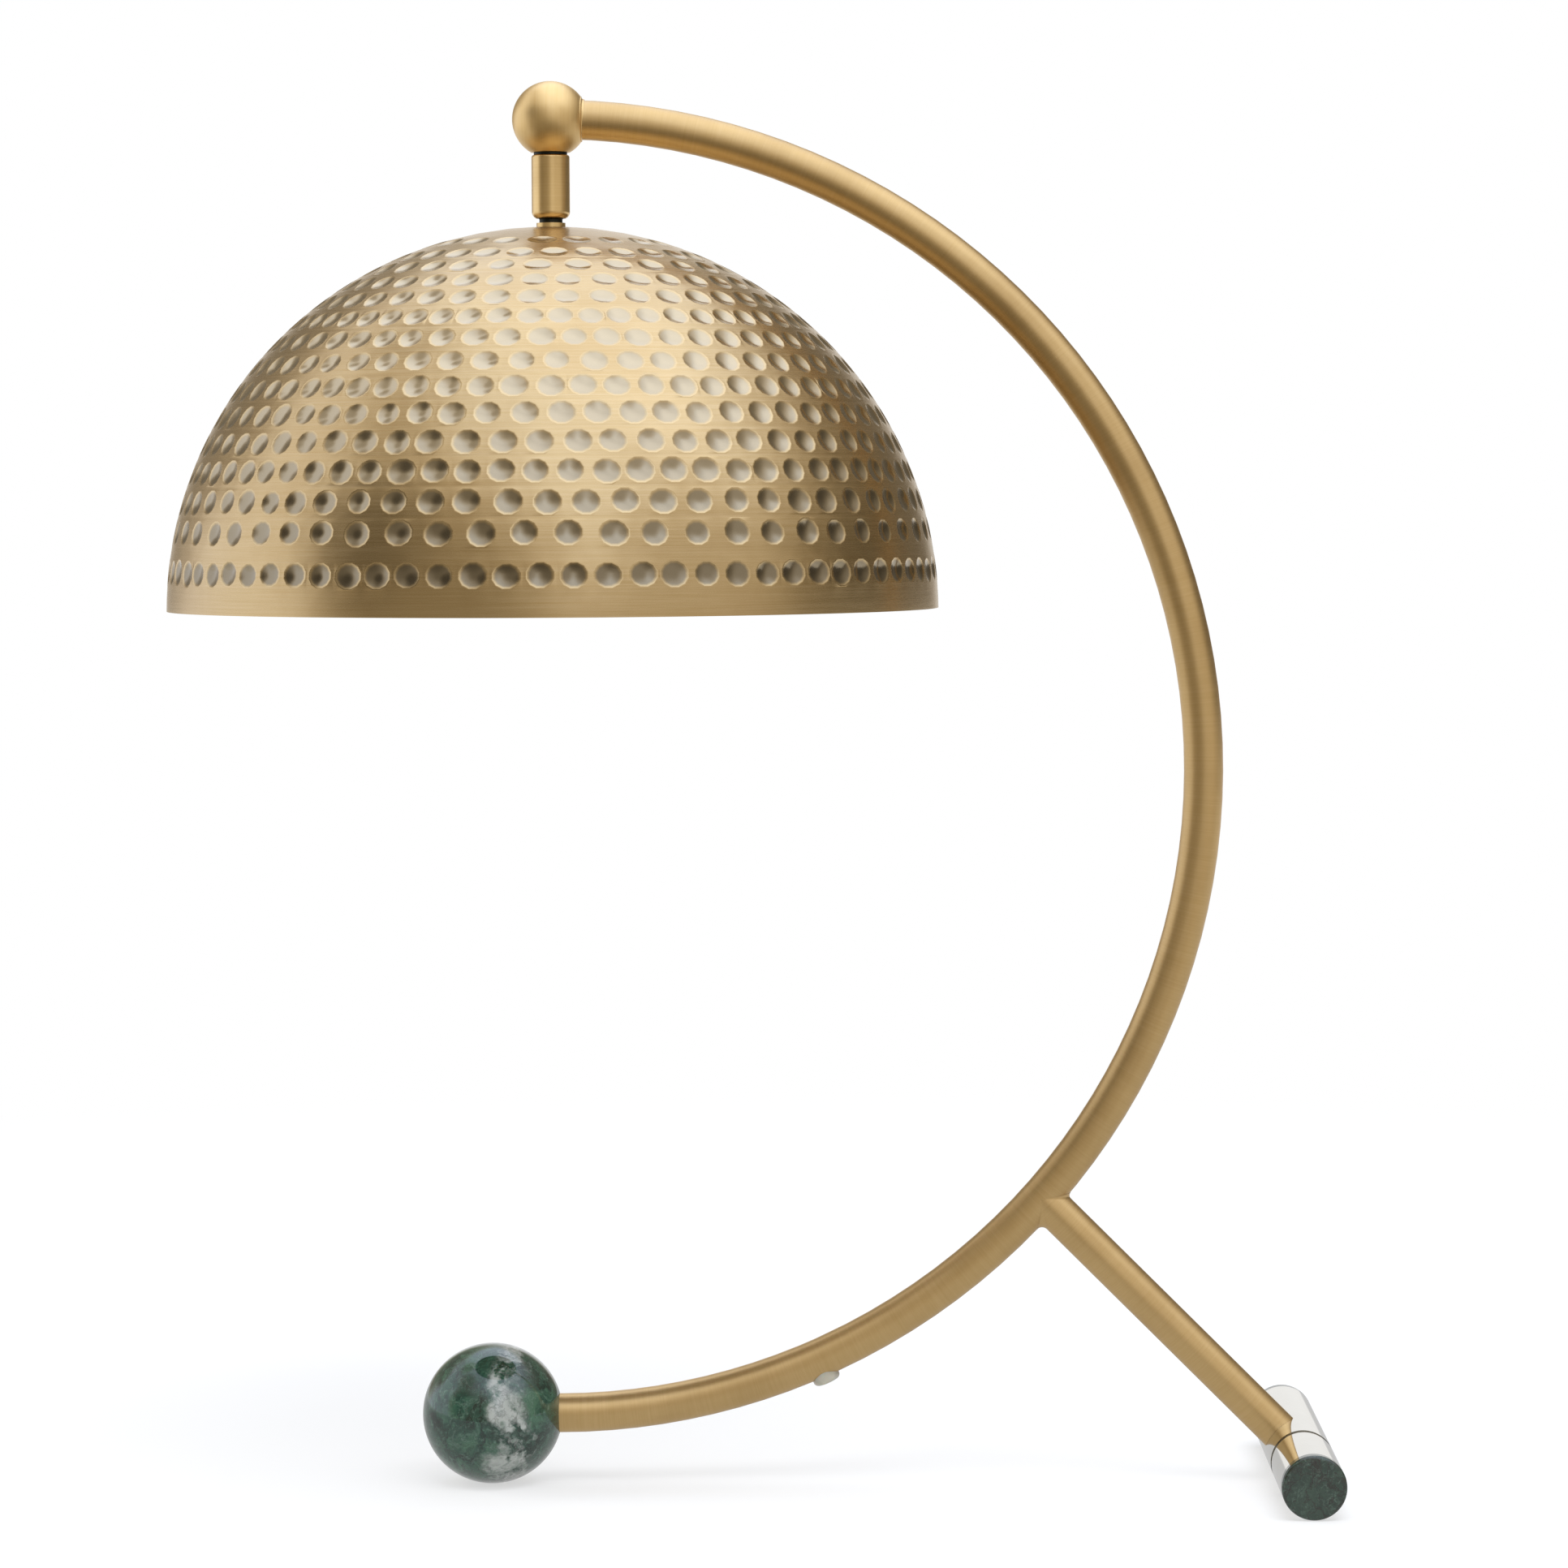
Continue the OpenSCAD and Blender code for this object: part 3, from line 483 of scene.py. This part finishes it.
def buildShade():
    rows = placeDents()
    sheet = {"points": [], "faces": [], "dents": []}
    outer = {"radius": shade["radius"], "rings": shade["outerRings"], "depthShare": 1.0, "outward": True}
    inner = {"radius": shade["radius"] - shade["wall"], "rings": shade["innerRings"],
             "depthShare": shade["innerDepth"], "outward": False}
    outerRim, outerHole = addSide(sheet, outer, rows)
    innerRim, innerHole = addSide(sheet, inner, rows)
    # the sheet's thickness closes the rim and the hole
    for outerEdge, innerEdge, side in ((outerRim, innerRim, inner), (outerHole, innerHole, outer)):
        for k in range(len(outerEdge)):
            n = (k + 1) % len(outerEdge)
            sheetFace(sheet, side, outerEdge[k][1], outerEdge[n][1], innerEdge[n][1], innerEdge[k][1])
    obj = meshObject("hammered_shade", sheet["points"], sheet["faces"])
    layer = obj.data.attributes.new("dent", "FLOAT", "POINT")
    layer.data.foreach_set("value", sheet["dents"])
    return obj


def dentSkinAndPaintedLight(tree, where, colour, rough):
    # the brush doesn't reach into the dents: they keep the punch's smoother, greyer skin; painted shade
    # makes the low ones darker and painted light makes the high ones paler
    dent = addNode(tree, "ShaderNodeAttribute", {"attribute_name": "dent"}).outputs["Fac"]
    inside = addNode(tree, "ShaderNodeMapRange", shade["skinRange"], {"Value": dent}).outputs["Result"]
    split = addNode(tree, "ShaderNodeSeparateXYZ", None, {"Vector": where})
    level = addNode(tree, "ShaderNodeMapRange", {
        "From Min": shadeLow.z + shade["shadedSkinTop"], "From Max": shadeLow.z + shade["litSkinStart"]},
        {"Value": split.outputs["Z"]})
    # painted shade low on the dome, painted light high on it
    low, high = linearColour(shade["shadedLowSkin"]), linearColour(shade["litHighSkin"])
    skin = addNode(tree, "ShaderNodeMix", {"data_type": "RGBA", colourA: low, colourB: high},
                   {mixShare: level.outputs["Result"]})
    grey = addNode(tree, "ShaderNodeMix", {"data_type": "RGBA"},
                   {mixShare: inside, colourA: colour, colourB: skin.outputs[colourOut]})
    smooth = addNode(tree, "ShaderNodeMix", {"data_type": "FLOAT", numberB: shade["skinRoughness"]},
                     {mixShare: inside, numberA: rough})
    # painted highlight: a lighter ring on each dent's lip
    lip = addNode(tree, "ShaderNodeValToRGB", {"stops": shade["lipHighlightStops"]}, {"Fac": dent})
    lipHighlighted = addNode(tree, "ShaderNodeMix", {"data_type": "RGBA", colourB: linearColour(shade["lipHighlight"])},
                     {mixShare: lip.outputs["Color"], colourA: grey.outputs[colourOut]})
    return lipHighlighted.outputs[colourOut], smooth.outputs[numberOut]


shadePiece = buildShade()
smoothOutwards(shadePiece)
hammered = brushedBrass("hammered antique brass", linesOnDome, shade["tones"], shade["roughness"],
                        depth=shade["lineDepth"], dentSkinAndPaintedLight=dentSkinAndPaintedLight)
setMaterial(shadePiece, hammered)
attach(shadePiece, "shade")
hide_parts("dome_shade")
print("shade:", len(shadePiece.data.polygons), "faces,", sum(shade["counts"]), "dents")


# weld: a smooth concave bead where the leg's coped end meets the arm
weld = {
    "lowReach": 2.9 * mm,       # reach of the bead along each tube, in the lower and the upper corner
    "highReach": 1.7 * mm,
    "sideReach": 0.25 * mm,
    "reachPower": 1.5,          # how fast the reach falls from the corners to the sides
    "root": 0.5 * mm,           # how deep its hidden corner lies in the tubes
    "rounds": 96,
    "steps": 7,
}


def buildWeld():
    slope = math.radians(tube["legAngle"])
    legWay = Vector((-math.cos(slope), 0, math.sin(slope)))
    offset = barCentre - arcCentre
    middle = -offset.dot(legWay)
    length = middle - math.sqrt(middle ** 2 - offset.length_squared + arcRadius ** 2)
    joint = barCentre + legWay * length
    away = -legWay                                  # from the arm down the leg
    across = Vector((away.z, 0, -away.x))           # towards the lower left
    r = tube["radius"]

    def onArm(side, y):
        # height above the joint of the arm's skin, at this place across the leg
        skin = arcRadius + math.sqrt(max(0.0, r * r - y * y))
        spot = joint + across * side - arcCentre
        along = spot.dot(away)
        return -along + math.sqrt(max(0.0, along ** 2 - spot.length_squared + skin ** 2))

    points, faces = [], []
    for k in range(weld["rounds"]):
        turn = 2 * math.pi * k / weld["rounds"]
        sign, cornerReach = (1, weld["lowReach"]) if math.cos(turn) > 0 else (-1, weld["highReach"])
        share = abs(math.cos(turn)) ** weld["reachPower"]
        reach = weld["sideReach"] + (cornerReach - weld["sideReach"]) * share
        y, side = r * math.sin(turn), r * math.cos(turn)
        corner = onArm(side, y)
        ring = [(corner - weld["root"], side - sign * weld["root"])]
        for s in range(weld["steps"] + 1):
            angle = math.pi / 2 * s / weld["steps"]
            out = side + sign * reach * (1 - math.sin(angle))
            ring.append((corner + reach * (1 - math.cos(angle)) if s else onArm(out, y), out))
        for up, out in ring:
            spot = joint + away * up + across * out
            points.append((spot.x, y, spot.z))
    count = weld["steps"] + 2
    for k in range(weld["rounds"]):
        n = (k + 1) % weld["rounds"]
        for i in range(count):
            j = (i + 1) % count
            faces.append((k * count + i, k * count + j, n * count + j, n * count + i))
    return meshObject("leg_weld", points, faces)


weldPiece = buildWeld()
smoothOutwards(weldPiece)
setMaterial(weldPiece, brushedBrass("brass weld", linesOnRod(barCentre, tube["legAngle"])))
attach(weldPiece, "stand")
print("weld:", len(weldPiece.data.polygons), "faces")


# green marble, polished: the ball's block is greener, and the discs' browner with stronger veins
marble = {
    "ball": {
        "deep": "#111F18",
        "green": "#294639",
        "bright": "#436850",
        "mist": "#7C9585",
        "cloud": "#A5A9A3",
        "cloudPlace": 8 * mm,        # to the right of the centre
        "cloudWidth": 11 * mm,
        "vein": "#221D17",
        "veinStrength": 0.35,
    },
    "disc": {
        "deep": "#2A211B",
        "green": "#25342A",
        "bright": "#394B3D",
        "mist": "#74897A",
        "cloud": "#8E9A90",
        "cloudPlace": 30 * mm,
        "cloudWidth": 8 * mm,
        "vein": "#231B16",
        "veinStrength": 0.7,
    },
    "polish": {"Roughness": 0.07, "IOR": 1.54, "Coat Weight": 0.4, "Coat Roughness": 0.03},
    "drift": 45 * mm,                # how far the pattern is pulled about
    "driftNoise": {"Scale": scaleFor(18.18), "Detail": 5.0, "Roughness": 0.6},
    "patches": {"Scale": scaleFor(16.0), "Detail": 8.0, "Roughness": 0.65, "Distortion": 0.6},
    "patchStops": (0.34, 0.5, 0.68),
    "specks": {"Scale": scaleFor(3.846), "Detail": 6.0, "Roughness": 0.75},
    "mistRange": {"From Min": 0.52, "From Max": 0.75, "To Max": 0.55},
    "wisps": {"Scale": scaleFor(14.286), "Detail": 5.0, "Roughness": 0.55},
    "wispRange": {"From Min": 0.42, "From Max": 0.56},
    "cloudCore": 0.2,                # full this near its middle, as a share of its width
    "cracks": {"feature": "DISTANCE_TO_EDGE", "Scale": scaleFor(14.286)},
    "crackRange": {"From Min": 0.05, "From Max": 0.0},
}


def greenMarble(name, block, centre):
    # mottled green under a glassy polish, with a drifting grey cloud, pale mist and dark veins
    material, tree, shader = newMaterial(name, marble["polish"])
    where = addNode(tree, "ShaderNodeTexCoord").outputs["Object"]
    mapping = addNode(tree, "ShaderNodeMapping", {"Location": -Vector(centre)}, {"Vector": where})
    moved = mapping.outputs["Vector"]
    drift = addNode(tree, "ShaderNodeTexNoise", marble["driftNoise"], {"Vector": moved})
    push = addNode(tree, "ShaderNodeVectorMath", {
        "operation": "MULTIPLY_ADD", 1: (marble["drift"],) * 3, 2: (-marble["drift"] / 2,) * 3},
        {0: drift.outputs["Color"]})
    shifted = addNode(tree, "ShaderNodeVectorMath", {"operation": "ADD"}, {0: moved, 1: push.outputs[0]})
    bent = shifted.outputs[0]
    patches = addNode(tree, "ShaderNodeTexNoise", marble["patches"], {"Vector": bent})
    stops = list(zip(marble["patchStops"], (block["deep"], block["green"], block["bright"])))
    greens = addNode(tree, "ShaderNodeValToRGB", {"stops": stops}, {"Fac": patches.outputs["Fac"]})
    specks = addNode(tree, "ShaderNodeTexNoise", marble["specks"], {"Vector": bent})
    mistMask = addNode(tree, "ShaderNodeMapRange", marble["mistRange"], {"Value": specks.outputs["Fac"]})
    misted = addNode(tree, "ShaderNodeMix", {"data_type": "RGBA", colourB: linearColour(block["mist"])},
                     {mixShare: mistMask.outputs["Result"], colourA: greens.outputs["Color"]})
    split = addNode(tree, "ShaderNodeSeparateXYZ", None, {"Vector": bent})
    off = addNode(tree, "ShaderNodeMath", {"operation": "SUBTRACT", 1: block["cloudPlace"]},
                  {0: split.outputs["X"]})
    distance = addNode(tree, "ShaderNodeMath", {"operation": "ABSOLUTE"}, {0: off.outputs[0]})
    band = addNode(tree, "ShaderNodeMapRange", {
        "interpolation_type": "SMOOTHSTEP",
        "From Min": block["cloudWidth"], "From Max": block["cloudWidth"] * marble["cloudCore"]},
        {"Value": distance.outputs[0]})
    wisps = addNode(tree, "ShaderNodeTexNoise", marble["wisps"], {"Vector": bent})
    wispMask = addNode(tree, "ShaderNodeMapRange", marble["wispRange"], {"Value": wisps.outputs["Fac"]})
    cloudMask = addNode(tree, "ShaderNodeMath", {"operation": "MULTIPLY"},
                        {0: band.outputs["Result"], 1: wispMask.outputs["Result"]})
    clouded = addNode(tree, "ShaderNodeMix", {"data_type": "RGBA", colourB: linearColour(block["cloud"])},
                      {mixShare: cloudMask.outputs[0], colourA: misted.outputs[colourOut]})
    cracks = addNode(tree, "ShaderNodeTexVoronoi", marble["cracks"], {"Vector": bent})
    crackMask = addNode(tree, "ShaderNodeMapRange", {
        **marble["crackRange"], "To Max": block["veinStrength"]}, {"Value": cracks.outputs["Distance"]})
    veined = addNode(tree, "ShaderNodeMix", {"data_type": "RGBA", colourB: linearColour(block["vein"])},
                     {mixShare: crackMask.outputs["Result"], colourA: clouded.outputs[colourOut]})
    tree.links.new(veined.outputs[colourOut], shader.inputs["Base Color"])
    return material


# plain finishes: two near colours in a fine grain, which can vary the gloss too
turned = {"shader": {"Metallic": 1.0}, "grain": {"Scale": scaleFor(1.111), "Detail": 3.0}}
moulded = {"shader": {"IOR": 1.5}, "grain": {"Scale": scaleFor(1.4286), "Detail": 4.0},
           "bump": {"Strength": 0.1, "Distance": 0.05 * mm}}
plain = {
    # bright nickel plate: a mirror, with a trace of haze where it was buffed
    "nickel": {"name": "polished nickel plate", "shader": {"Metallic": 1.0},
               "colours": ("#D8D6CF", "#E6E4DE"), "roughness": (0.03, 0.09),
               "grain": {"Scale": scaleFor(16.667), "Detail": 5.0, "Roughness": 0.6},
               "grainRange": {"From Min": 0.3, "From Max": 0.8}},
    # turned steel and brass: cool grey zinc, black oxide, brass darkened with painted groove shade, and
    # bright plate, with lathe marks
    "steel": {**turned, "name": "zinc plated steel",
              "colours": ("#8E9194", "#A6A8AA"), "roughness": (0.3, 0.42)},
    "black": {**turned, "name": "blackened steel",
              "colours": ("#23241F", "#34352E"), "roughness": (0.3, 0.45)},
    # painted shade: the spacer ring's brass is darkened to the shade of its recessed groove
    "groove": {**turned, "name": "brass ring with painted groove shade",
               "colours": ("#4A4028", "#5E5236"), "roughness": (0.2, 0.3)},
    "cap": {**turned, "name": "bright screw cap",
            "colours": ("#B5B6B5", "#C7C8C6"), "roughness": (0.2, 0.3)},
    # moulded phenolic and white plastic: even colour with a fine mould grain
    "phenolic": {**moulded, "name": "moulded phenolic", "colours": ("#1B1714", "#2A2420"),
                 "roughness": (0.3, 0.42)},
    "white": {**moulded, "name": "white moulded plastic", "colours": ("#DAD8D0", "#E6E4DD"),
              "roughness": (0.35, 0.45)},
    # moulded natural nylon: milky, lets some light through
    "nylon": {"name": "natural moulded nylon",
              "shader": {"Roughness": 0.3, "IOR": 1.53, "Transmission Weight": 0.35, "Subsurface Weight": 0.3,
                         "Subsurface Scale": 2 * mm},
              "colours": ("#C9C2AE", "#DDD8C8"), "grain": {"Scale": scaleFor(2.5), "Detail": 3.0}},
    # opal glass: white, glossy, light spreads inside it
    "opal": {"name": "opal glass",
             "shader": {"Roughness": 0.12, "IOR": 1.5, "Subsurface Weight": 0.5, "Subsurface Scale": 3 * mm},
             "colours": ("#EEECE4", "#F7F5EF"), "grain": {"Scale": scaleFor(8.333), "Detail": 2.0}},
}


def plainFinish(finish):
    material, tree, shader = newMaterial(finish["name"], finish["shader"])
    where = addNode(tree, "ShaderNodeTexCoord").outputs["Object"]
    grain = addNode(tree, "ShaderNodeTexNoise", finish["grain"], {"Vector": where}).outputs["Fac"]
    first, second = (linearColour(code) for code in finish["colours"])
    tone = addNode(tree, "ShaderNodeMix", {"data_type": "RGBA", colourA: first, colourB: second},
                   {mixShare: grain})
    tree.links.new(tone.outputs[colourOut], shader.inputs["Base Color"])
    if "roughness" in finish:
        low, high = finish["roughness"]
        rough = addNode(tree, "ShaderNodeMapRange", {
            **finish.get("grainRange", {}), "To Min": low, "To Max": high}, {"Value": grain})
        tree.links.new(rough.outputs["Result"], shader.inputs["Roughness"])
    if "bump" in finish:
        bump = addNode(tree, "ShaderNodeBump", finish["bump"], {"Height": grain})
        tree.links.new(bump.outputs["Normal"], shader.inputs["Normal"])
    return material


finishes = {
    "arm": brushedBrass("satin brass tube arm", linesOnArc),
    "leg": brushedBrass("satin brass tube leg", linesOnRod(barCentre, tube["legAngle"])),
    # painted light: the knuckle ball gets the lighter brass tones
    "knuckle": brushedBrass("satin brass ball with painted light", linesOnRod(knuckleCentre, 0), brass["litBallTones"]),
    "stem": brushedBrass("satin brass turned", linesRound(shadeAxis), brass["turnedTones"],
                         brass["turnedRoughness"]),
    "aged": brushedBrass("aged brass", linesRound(shadeAxis), roughness=brass["turnedRoughness"], coat=0.0),
    "ball": greenMarble("green marble ball", marble["ball"], ballCentre),
    "disc": greenMarble("brown green marble disc", marble["disc"], discCentre),
}
for key, finish in plain.items():
    finishes[key] = plainFinish(finish)
wears = {
    "arm": ["arm_tube"],
    "leg": ["leg_tube"],
    "knuckle": ["knuckle_ball"],
    "stem": ["stem_housing", "shade_collar"],
    "aged": ["ball_insert", "stem_cap", "socket_cap", "socket_shell", "bulb_holder", "centre_contact",
             "knob_shaft"],
    "groove": ["front_spacer"],
    "nickel": ["crossbar_centre", "front_sleeve", "rear_sleeve"],
    "ball": ["stone_ball"],
    "disc": ["front_stone_disc", "rear_stone_disc"],
    "steel": ["leg_plug", "arm_plug", "ball_stud", "front_stud", "rear_stud", "stud_washers", "stud_nuts",
              "knuckle_nipple", "thrust_washer", "ring_nut", "load_ring", "disc_springs", "shade_washer",
              "shade_nut", "bulb_tip"],
    "black": ["leg_screw", "swivel_washer", "pivot_stud"],
    "nylon": ["cord_bushing", "pivot_seat"],
    "phenolic": ["socket_liner", "switch_block", "switch_knob"],
    "white": ["bulb_base"],
    "opal": ["bulb_globe"],
    "cap": ["bulb_cap"],
}
for finish, names in wears.items():
    for name in names:
        setMaterial(nodes[name], finishes[finish])
print("finishes set on", sum(len(n) for n in wears.values()), "carried-over nodes")


# studio: a white backdrop, a wide soft light overhead, a soft light at the left and dark flags at both sides
studio = {
    "base": 0.7,
    # direction (turn from the camera, positive to the right; height), inner and outer angle, level
    "fields": [
        ((109, 65), 1, 75, 1.95),
        ((-12, 21), 1, 48, 2.0),
        ((-105, 13), 29, 48, 1.3),
        ((-29, 6), 1, 53, 0.36),
        ((120, -6), 6, 76, 0.13),
        ((-127, 26), 4, 14, 0.5),
        ((-112, 59), 3, 12, 0.56),
        ((0, -60), 38, 70, 0.2),
        ((-56, 20), 4, 26, 0.15),
        ((45, 6), 4, 38, 0.72),
        ((-68, 50), 2, 16, 0.62),
        ((149, 22), 4, 32, 0.2),
        ((-150, 20), 4, 30, 0.25),
        ((180, 62), 2, 30, 1.85),
    ],
    "backdrop": ((180, 4), 8, 24),
    "white": 1.0,
    # dim fields are warm and bright ones cool: places on a ramp that ends at tintLevel
    "tints": [(0.2, "#FFF2DA"), (1.0, "#E6EEFF")],
    "tintLevel": 1.5,
}


def directionMask(tree, way, place, inner, outer):
    # 1 near this direction, 0 far from it, soft between
    turn, height = math.radians(place[0]), math.radians(place[1])
    towards = (math.sin(turn) * math.cos(height), -math.cos(turn) * math.cos(height), math.sin(height))
    dot = addNode(tree, "ShaderNodeVectorMath", {"operation": "DOT_PRODUCT", 1: towards}, {0: way})
    near = addNode(tree, "ShaderNodeMapRange", {
        "interpolation_type": "SMOOTHSTEP",
        "From Min": math.cos(math.radians(outer)), "From Max": math.cos(math.radians(inner))},
        {"Value": dot.outputs["Value"]})
    return near.outputs["Result"]


def viewRays(tree):
    # whether the camera looks here, and whether metal or glass does
    rays = addNode(tree, "ShaderNodeLightPath")
    mirrored = addNode(tree, "ShaderNodeMath", {"operation": "MAXIMUM"},
                       {0: rays.outputs["Is Glossy Ray"], 1: rays.outputs["Is Transmission Ray"]})
    return rays.outputs["Is Camera Ray"], mirrored.outputs[0]


def setWorld():
    world = bpy.data.worlds.new("studio")
    bpy.context.scene.world = world
    world.use_nodes = True
    tree = world.node_tree
    background = tree.nodes["Background"]
    way = addNode(tree, "ShaderNodeTexCoord").outputs["Generated"]
    base = addNode(tree, "ShaderNodeValue")
    base.outputs[0].default_value = studio["base"]
    level = base.outputs[0]
    for place, inner, outer, strength in studio["fields"]:
        mixed = addNode(tree, "ShaderNodeMix", {"data_type": "FLOAT", numberB: strength},
                        {mixShare: directionMask(tree, way, place, inner, outer), numberA: level})
        level = mixed.outputs[numberOut]
    # the camera sees the white backdrop all round, and metal and glass see it behind the lamp
    seen, mirrored = viewRays(tree)
    behind = addNode(tree, "ShaderNodeMath", {"operation": "MULTIPLY"},
                     {0: mirrored, 1: directionMask(tree, way, *studio["backdrop"])})
    white = addNode(tree, "ShaderNodeMath", {"operation": "MAXIMUM"}, {0: seen, 1: behind.outputs[0]})
    shown = white.outputs[0]
    strength = addNode(tree, "ShaderNodeMix", {"data_type": "FLOAT", numberB: studio["white"]},
                       {mixShare: shown, numberA: level})
    share = addNode(tree, "ShaderNodeMath", {"operation": "DIVIDE", 1: studio["tintLevel"]}, {0: level})
    tint = addNode(tree, "ShaderNodeValToRGB", {"stops": studio["tints"]}, {"Fac": share.outputs[0]})
    colour = addNode(tree, "ShaderNodeMix", {"data_type": "RGBA", colourB: (1, 1, 1, 1)},
                     {mixShare: shown, colourA: tint.outputs["Color"]})
    tree.links.new(strength.outputs[numberOut], background.inputs["Strength"])
    tree.links.new(colour.outputs[colourOut], background.inputs["Color"])


table = {
    "width": 12.0,
    "front": -0.42,
    "back": 9.0,
    "drop": 0.2 * mm,            # below the lamp's feet
    "paper": {"Roughness": 0.9, "Base Color": linearColour("#F4F4F2")},
    # share of plain white that the camera sees, from near the lamp to far from it
    "fade": {"From Min": 0.4, "From Max": 1.3, "To Min": 0.6, "To Max": 1.0},
    # brightness that metal and glass see, from near the lamp to far from it
    "mirrored": {"From Min": 0.5, "From Max": 3.0, "To Min": 0.6, "To Max": studio["white"]},
}


def addTable():
    # a white table top that ends in front of the lamp, and fades into the backdrop far behind it
    wide, front, back, low = table["width"] / 2, table["front"], table["back"], -table["drop"]
    corners = [(-wide, front, low), (wide, front, low), (wide, back, low), (-wide, back, low)]
    floor = meshObject("floor", corners, [(0, 1, 2, 3)])
    material, tree, shader = newMaterial("white paper", table["paper"])
    glow = addNode(tree, "ShaderNodeEmission", {"Strength": studio["white"]})
    where = addNode(tree, "ShaderNodeTexCoord").outputs["Object"]
    distance = addNode(tree, "ShaderNodeVectorMath", {"operation": "LENGTH"}, {0: where}).outputs["Value"]
    fade = addNode(tree, "ShaderNodeMapRange", table["fade"], {"Value": distance})
    seen, mirrored = viewRays(tree)
    share = addNode(tree, "ShaderNodeMath", {"operation": "MULTIPLY"}, {0: seen, 1: fade.outputs["Result"]})
    paper = addNode(tree, "ShaderNodeMixShader", None,
                    {0: share.outputs[0], 1: shader.outputs[0], 2: glow.outputs[0]})
    level = addNode(tree, "ShaderNodeMapRange", table["mirrored"], {"Value": distance})
    mirroredGlow = addNode(tree, "ShaderNodeEmission", None, {"Strength": level.outputs["Result"]})
    lit = addNode(tree, "ShaderNodeMixShader", None,
                  {0: mirrored, 1: paper.outputs[0], 2: mirroredGlow.outputs[0]})
    # a camera below the table looks through it
    under = addNode(tree, "ShaderNodeNewGeometry").outputs["Backfacing"]
    clear = addNode(tree, "ShaderNodeBsdfTransparent")
    mixed = addNode(tree, "ShaderNodeMixShader", None, {0: under, 1: lit.outputs[0], 2: clear.outputs[0]})
    tree.links.new(mixed.outputs[0], tree.nodes["Material Output"].inputs["Surface"])
    setMaterial(floor, material)


lamps = {
    # name: (turn, height, distance, size, watts); mirrored surfaces see the world's fields in their place
    "top_box": (20, 62, 2.2, (1.6, 1.2), 24.0),
    "left_box": (-105, 22, 1.9, (0.5, 1.5), 9.0),
}
lampsAim = Vector((0, 0, 0.3))


def addLamps():
    for name, (turn, height, distance, (wide, tall), watts) in lamps.items():
        a, h = math.radians(turn), math.radians(height)
        away = Vector((math.sin(a) * math.cos(h), -math.cos(a) * math.cos(h), math.sin(h)))
        light = bpy.data.lights.new(name, "AREA")
        light.shape = "RECTANGLE"
        light.size, light.size_y = wide, tall
        light.energy = watts
        obj = bpy.data.objects.new(name, light)
        bpy.context.scene.collection.objects.link(obj)
        obj.location = lampsAim + distance * away
        obj.rotation_euler = (-away).to_track_quat("-Z", "Y").to_euler()
        obj.visible_glossy = False


camera = {
    "place": (0.04847, -1.97224, 0.40285),
    "yaw": 1.003,                # degrees
    "pitch": -3.335,
    "roll": 0.275,
    "lens": 110.93,              # mm
    "sensor": 36,                # mm
}


def addCamera():
    data = bpy.data.cameras.new("camera")
    data.lens = camera["lens"]
    data.sensor_width = camera["sensor"]
    obj = bpy.data.objects.new("camera", data)
    bpy.context.scene.collection.objects.link(obj)
    aim = Matrix.Translation(camera["place"])
    for key, way in (("yaw", "Z"), ("pitch", "X"), ("roll", "Y")):
        aim = aim @ Matrix.Rotation(math.radians(camera[key]), 4, way)
    # an unturned camera looks down: a quarter turn makes it look along Y
    obj.matrix_world = aim @ Matrix.Rotation(math.radians(90), 4, "X")
    bpy.context.scene.camera = obj


setWorld()
addTable()
addLamps()
addCamera()
bpy.context.scene.view_settings.view_transform = "Standard"
print("studio set")
